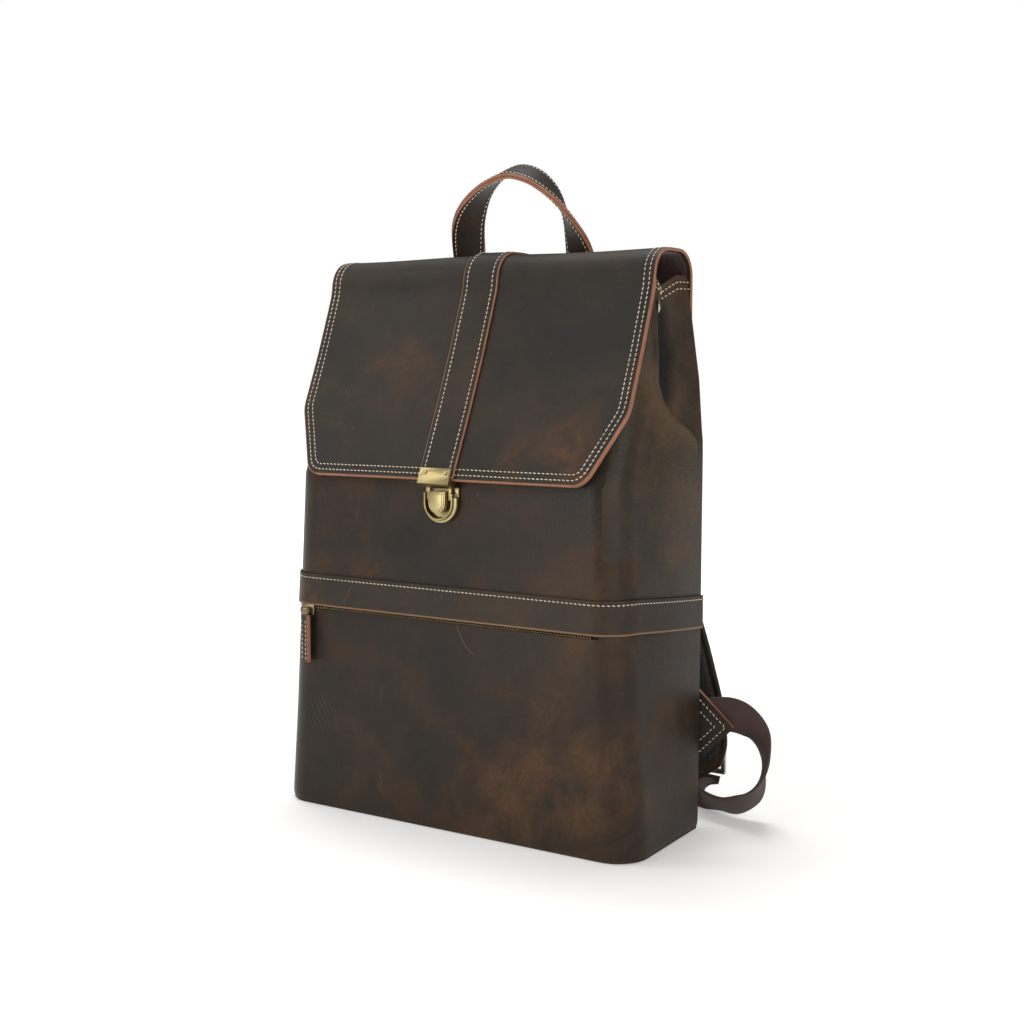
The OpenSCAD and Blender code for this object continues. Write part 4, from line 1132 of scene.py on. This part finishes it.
def fix_middle(rows):
    """Keeps the across directions on one side along the whole ribbon."""
    rows = rows.copy()
    for i in range(1, len(rows)):
        if np.dot(rows[i, 3:6], rows[i - 1, 3:6]) < 0:
            rows[i, 3:6] *= -1
    return rows


middle, across, out, _, _ = ribbon_frame(fix_middle(HANDLE), 90)
share = np.linspace(-1, 1, 11)
crown = 0.5 * (1 - share**2)


def handle_sheet(name, lift, thickness, half, face, sign=1):
    grid = np.array([
        [
            middle[i] + across[i] * half * u + out[i] * (lift + sign * c)
            for u, c in zip(share, crown)
        ]
        for i in range(len(middle))
    ])
    rows, columns = grid[41] - grid[40], grid[40, 1] - grid[40, 0]
    if np.dot(np.cross(columns, rows)[0], out[40] * sign) < 0:
        grid = grid[:, ::-1]
    return leather_sheet(name, grid, thickness, face, edge_finish, 0.7)


test = middle[45] - np.array([0, 56, 380])
side = 1 if np.dot(out[45], test) > 0 else -1
outer = handle_sheet("handle_leather_outer", side * 1.9, 1.9, 12.3, flap_finish, side)
inner_finish = waxed_leather(
    "waxed_leather_handle_inside", (0.018, 0.016, 0.014), (0.030, 0.023, 0.017),
    (0.048, 0.032, 0.020), (0.10, 0.05, 0.022), grain=1.5, seed=4.1,
)
inner = handle_sheet("handle_leather_inner", -side * 1.9, 1.9, 12.3, inner_finish, -side)
handle_rows = []
for u in (-9.4, 9.4):
    for lift, sign in ((side * 2.05, side), (-side * 2.05, -side)):
        handle_rows.append((middle + across * u + out * (lift + sign * 0.2), out * sign))
handle_stitches = sew("handle_stitches", handle_rows)
for piece in (outer, inner):
    mesh = bmesh.new()
    mesh.from_mesh(piece.data)
    bmesh.ops.recalc_face_normals(mesh, faces=mesh.faces)
    mesh.to_mesh(piece.data)
    mesh.free()
for piece in (outer, inner, handle_stitches):
    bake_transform(piece)
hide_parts("handle_leather", "handle_tails")
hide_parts("handle_lining", "handle_core")

# ---- Shoulder straps ----
# Padded straps: leather outside, foam, and black spacer mesh against the wearer,
# sewn round the edge, rounded at the foot where the ladder slider is tacked on.

strap_finish = waxed_leather(
    "waxed_leather_straps", (0.024, 0.021, 0.019), (0.042, 0.029, 0.020), (0.064, 0.040, 0.023),
    (0.13, 0.062, 0.025), patches=[((40, 66, 300), 50, 0.5), ((-40, 66, 300), 50, 0.5)], seed=3.2,
)
mesh_finish = Finish("black_spacer_mesh")
holes = mesh_finish.cells(420, "DISTANCE_TO_EDGE")
# The holes are darker than the strands: painted shade inside the mesh openings.
open_share = (holes * 5.0 - 0.7).kept()
mesh_finish = mesh_finish.surface(
    mesh_finish.mix(open_share, (0.020, 0.019, 0.018), (0.003, 0.003, 0.003)), 0.8,
    mesh_finish.bump(1 - open_share, 0.4, 0.8),
)
STRAP = [
    (36, 56.8, 316.6, 1, 0, 0, 28), (36, 57, 312, 1, 0, 0, 28), (36, 63.4, 295, 1, 0, 0, 28),
    (52, 87.4, 262, 0.97, 0, 0.22, 27), (72, 100.4, 205, 0.94, 0, 0.34, 26),
    (93, 103.4, 150, 0.93, 0, 0.36, 24), (112, 101.4, 98, 0.95, 0, 0.3, 23),
    (123, 98.4, 62, 0.98, 0, 0.2, 22), (126, 96.4, 42, 1, 0, 0.1, 20),
    (127, 95.4, 33, 1, 0, 0.1, 15), (127, 95, 27.4, 1, 0, 0.1, 6),
]


def mirrored(rows, side):
    """The rows for the left or right side; a mirrored across direction keeps its sense."""
    rows = np.array(rows, float)
    if side < 0:
        rows[:, 0] *= -1
        rows[:, 4:6] *= -1
    return rows


def solid_from(name, loops, finishes, slots):
    """A closed form from a row of loops, capped at both ends."""
    count, around_count = len(loops), len(loops[0])
    points = np.concatenate(loops)
    faces, marks = [], []
    for r in range(count - 1):
        for c in range(around_count):
            d = (c + 1) % around_count
            faces.append((r * around_count + c, r * around_count + d,
                          (r + 1) * around_count + d, (r + 1) * around_count + c))
            marks.append(slots[c])
    for r in (0, count - 1):
        half = around_count // 2
        ring = [r * around_count + c for c in range(around_count)]
        for c in range(half - 1):
            faces.append((ring[c], ring[c + 1], ring[-2 - c], ring[-1 - c]))
            marks.append(0)
    piece = make(name, points, faces, finishes, marks)
    mesh = bmesh.new()
    mesh.from_mesh(piece.data)
    bmesh.ops.recalc_face_normals(mesh, faces=mesh.faces)
    mesh.to_mesh(piece.data)
    mesh.free()
    return piece


def puff(u, high, low):
    """A strap's thickness across it: full in the middle, pinched at the seam, thin at the lip."""
    body = low + (high - low) * np.clip(1 - (np.abs(u) / 0.9) ** 4, 0, 1)
    groove = 0.55 * np.exp(-(((np.abs(u) - 0.83) / 0.035) ** 2))
    lip = 0.8 * np.clip((np.abs(u) - 0.95) / 0.05, 0, 1) ** 2
    return body - groove - lip


for side, word in ((-1, "left"), (1, "right")):
    middle, across, out, made, reach = ribbon_frame(mirrored(STRAP, side), 110)
    if out[55, 1] < 0:
        out = -out
    half = made[:, 6]
    count = len(middle)
    near = np.clip(np.minimum(np.arange(count), 0.6 * np.arange(count)[::-1]) / 5, 0, 1)
    leather_loops, mesh_loops = [], []
    u = np.concatenate([[-1, -0.985, -0.95, -0.88, -0.83, -0.78], np.linspace(-0.66, 0.66, 13),
                        [0.78, 0.83, 0.88, 0.95, 0.985, 1]])

    for i in range(count):
        outer_side = puff(u, 3.9, 2.2) * (0.55 + 0.45 * near[i])
        inner_side = -puff(u, 2.6, 1.5) * (0.55 + 0.45 * near[i])
        top = [middle[i] + across[i] * half[i] * a + out[i] * h for a, h in zip(u, outer_side)]
        under = [
            middle[i] + across[i] * half[i] * a + out[i] * h
            for a, h in zip(u[::-1], inner_side[::-1])
        ]
        leather_loops.append(np.array(top + under))
        inset = (half[i] - 4.2) / half[i]
        mesh_top = [middle[i] + across[i] * half[i] * a * inset - out[i] * 0.2 for a in u]
        mesh_under = [
            middle[i] + across[i] * half[i] * a * inset - out[i] * (
                puff(a * 0.86, 3.85, 2.1) * (0.55 + 0.45 * near[i]) * (1 if abs(a) < 0.96 else 0.75)
            ) for a in u[::-1]
        ]
        mesh_loops.append(np.array(mesh_top + mesh_under))
    strap = solid_from(f"shoulder_strap_{word}_padded", leather_loops, [strap_finish, edge_finish],
                       [0] * (2 * len(u)))
    pad = solid_from(
        f"strap_mesh_{word}_panel", mesh_loops[3:-3], [mesh_finish], [0] * (2 * len(u))
    )
    rows = [(middle[2:-4] + across[2:-4] * half[2:-4, None] * a + out[2:-4] * 1.75, out[2:-4])
            for a in (-0.83, 0.83)]
    stitches = sew(f"strap_stitches_{word}", rows)
    for piece in (strap, pad, stitches):
        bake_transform(piece)
    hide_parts(f"shoulder_strap_{word}", f"strap_foam_{word}")
    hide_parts(f"strap_mesh_{word}")
    for node, width, finish in (
        (f"strap_keeper_{word}", 0.4, strap_finish), (f"strap_slider_{word}", 0.7, nickel),
    ):
        part = bevelled(node, width, finish)
        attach(part, f"strap_{word}")
        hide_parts(node)

# ---- Webbing ----
# Maroon woven webbing, 25 mm wide, that lets the straps be lengthened. It runs
# from the anchor tab low on the bag round to the ladder slider.

webbing_finish = Finish("maroon_webbing")
uv = webbing_finish.node("ShaderNodeUVMap", {"uv_map": "along"}).outputs[0]
u, v = webbing_finish.axis("X", uv), webbing_finish.axis("Y", uv)
zigzag = (v * 1.0).apply("PINGPONG", v, 0.004)
twill_rows = (u * 5200 + zigzag * 5200).apply("SINE", u * 5200 + zigzag * 5200)
threads = (v * 7800).apply("SINE", v * 7800)
weave = (twill_rows * 0.28 + threads * 0.22 + 0.5).kept()
webbing_finish = webbing_finish.surface(
    webbing_finish.mix(
        weave * 0.6 + webbing_finish.noise(40, 3) * 0.4 - 0.05,
        (0.026, 0.013, 0.011), (0.092, 0.050, 0.042),
    ), 0.75, webbing_finish.bump(weave, 0.25, 0.7), sheen_weight=0.05,
)
WEBBING = [
    (140, 64.6, 74, -0.42, -0.1, 0.9), (152, 68.2, 79, -0.34, -0.1, 0.93),
    (166, 71.5, 79, 0.12, -0.12, 0.98), (179, 75, 70, 0.62, -0.4, 0.7),
    (184, 78, 54, 0.62, -0.76, 0.24), (182, 80, 36, 0.36, -0.9, 0.2),
    (172, 81, 19, -0.02, -0.86, 0.52), (158, 81, 11.4, -0.1, -0.78, 0.62),
    (142, 85, 11.4, 0, -0.77, 0.64), (129, 95, 12.2, 0.3, -0.66, 0.6),
    (124.8, 103.6, 15.6, 0.9, -0.1, 0.2), (125, 106.6, 24.4, 0.99, 0, 0.05),
]

for side, word in ((-1, "left"), (1, "right")):
    middle, across, out, made, reach = ribbon_frame(mirrored(WEBBING, side), 80)
    loops = [np.array(
        [middle[i] + across[i] * a + out[i] * h for a, h in (
            (-12.5, -0.5), (-12.1, -0.9), (12.1, -0.9), (12.5, -0.5),
            (12.5, 0.5), (12.1, 0.9), (-12.1, 0.9), (-12.5, 0.5))]
    ) for i in range(len(middle))]
    web = solid_from(f"strap_webbing_{word}_woven", loops, [webbing_finish], [0] * 8)
    layer = web.data.uv_layers.new(name="along")
    places = np.array([(0.0, 0.0)] * len(web.data.loops))
    index = np.zeros(len(web.data.loops), int)
    web.data.loops.foreach_get("vertex_index", index)
    wide = np.array([-12.5, -12.1, 12.1, 12.5, 12.5, 12.1, -12.1, -12.5])
    places[:, 0] = reach[index // 8] * MM
    places[:, 1] = wide[index % 8] * MM
    layer.data.foreach_set("uv", places.ravel())
    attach(web, "bag")
    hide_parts(f"strap_webbing_{word}")

# ---- Anchor tabs ----
# A triangle of the back panel's darker leather on each side, sewn to the lower back
# with two rows of thread, where the webbing is fixed to the bag.

TAB_LEAN = math.radians(14.5)
TAB_FOLD, TAB_Y, TAB_Z, TAB_HALF, TAB_REACH = 118.0, 53.3, 72.0, 51.0, 50.0
for side, word in ((-1, "left"), (1, "right")):
    normal = (-side * math.sin(TAB_LEAN), math.cos(TAB_LEAN), 0)
    tab = bevelled(f"strap_anchor_{word}", 0.7, back_finish, edge_finish, normal)
    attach(tab, "bag")
    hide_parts(f"strap_anchor_{word}")
    rows = []
    for inset in (4.0, 9.5):
        for face in (-1, 1):
            reach = TAB_REACH - inset * 1.42
            drop = TAB_HALF - inset * 1.42
            line = np.array(
                [[-24, 0.66 * drop], [0, drop], [reach, 0], [0, -drop], [-24, -0.66 * drop]], float
            )
            line = np.concatenate([
                np.linspace(line[i], line[i + 1], 12, endpoint=i == 3) for i in range(4)
            ])
            flat = line[:, 0] < 0
            off = face * 2.05
            x = np.where(flat, line[:, 0], line[:, 0] * math.cos(TAB_LEAN) - off * math.sin(TAB_LEAN))
            y = np.where(flat, off, line[:, 0] * math.sin(TAB_LEAN) + off * math.cos(TAB_LEAN))
            points = np.column_stack([side * (TAB_FOLD + x), TAB_Y + y, TAB_Z + line[:, 1]])
            up = np.where(flat[:, None], [[0, face, 0]],
                          [[-side * face * math.sin(TAB_LEAN), face * math.cos(TAB_LEAN), 0]])
            rows.append((points, up))
    piece = sew(f"anchor_stitches_{word}", rows)
    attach(piece, "bag")

# ---- Gusset snaps ----
# Small nickel snaps that draw the gussets in. Each has a domed cap on the gusset
# and a socket whose back shows inside the mouth.


def snap(name, places, radius, height):
    """Domed discs at each (centre, facing)."""
    mesh = bmesh.new()
    for centre, facing in places:
        turn = Vector(facing).to_track_quat("Z", "Y")
        profile = [(0, 1.0), (0.45, 0.95), (0.8, 0.7), (0.96, 0.35), (1.0, 0.1), (1.0, -0.3)]
        rings = []
        for share, rise in profile[1:]:
            rings.append([
                mesh.verts.new((Vector(centre) + turn @ Vector((
                    radius * share * math.cos(a), radius * share * math.sin(a), height * rise
                ))) * MM) for a in np.linspace(0, 2 * math.pi, 28, endpoint=False)
            ])
        top = mesh.verts.new((Vector(centre) + turn @ Vector((0, 0, height))) * MM)
        for i in range(28):
            mesh.faces.new([top, rings[0][i], rings[0][(i + 1) % 28]])
            for first, second in zip(rings, rings[1:]):
                mesh.faces.new([first[i], second[i], second[(i + 1) % 28], first[(i + 1) % 28]])
        mesh.faces.new(rings[-1])
    bmesh.ops.recalc_face_normals(mesh, faces=mesh.faces)
    for face in mesh.faces:
        face.smooth = True
    data = bpy.data.meshes.new(name)
    mesh.to_mesh(data)
    mesh.free()
    data.materials.append(nickel)
    piece = bpy.data.objects.new(name, data)
    bpy.context.collection.objects.link(piece)
    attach(piece, "bag")
    return piece


caps = snap("gusset_snap_studs", [
    ((s * 131.5, 12.6, 362), (s * 0.75, 0.66, 0)) for s in (-1, 1)
], 5.2, 1.8)
sockets = snap("gusset_snap_backs", [
    ((s * 112.5, 20, 362), (-s, 0.05, 0)) for s in (-1, 1)
], 5.0, 1.6)
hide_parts("gusset_snap_caps")
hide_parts("gusset_snap_sockets")

low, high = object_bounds()
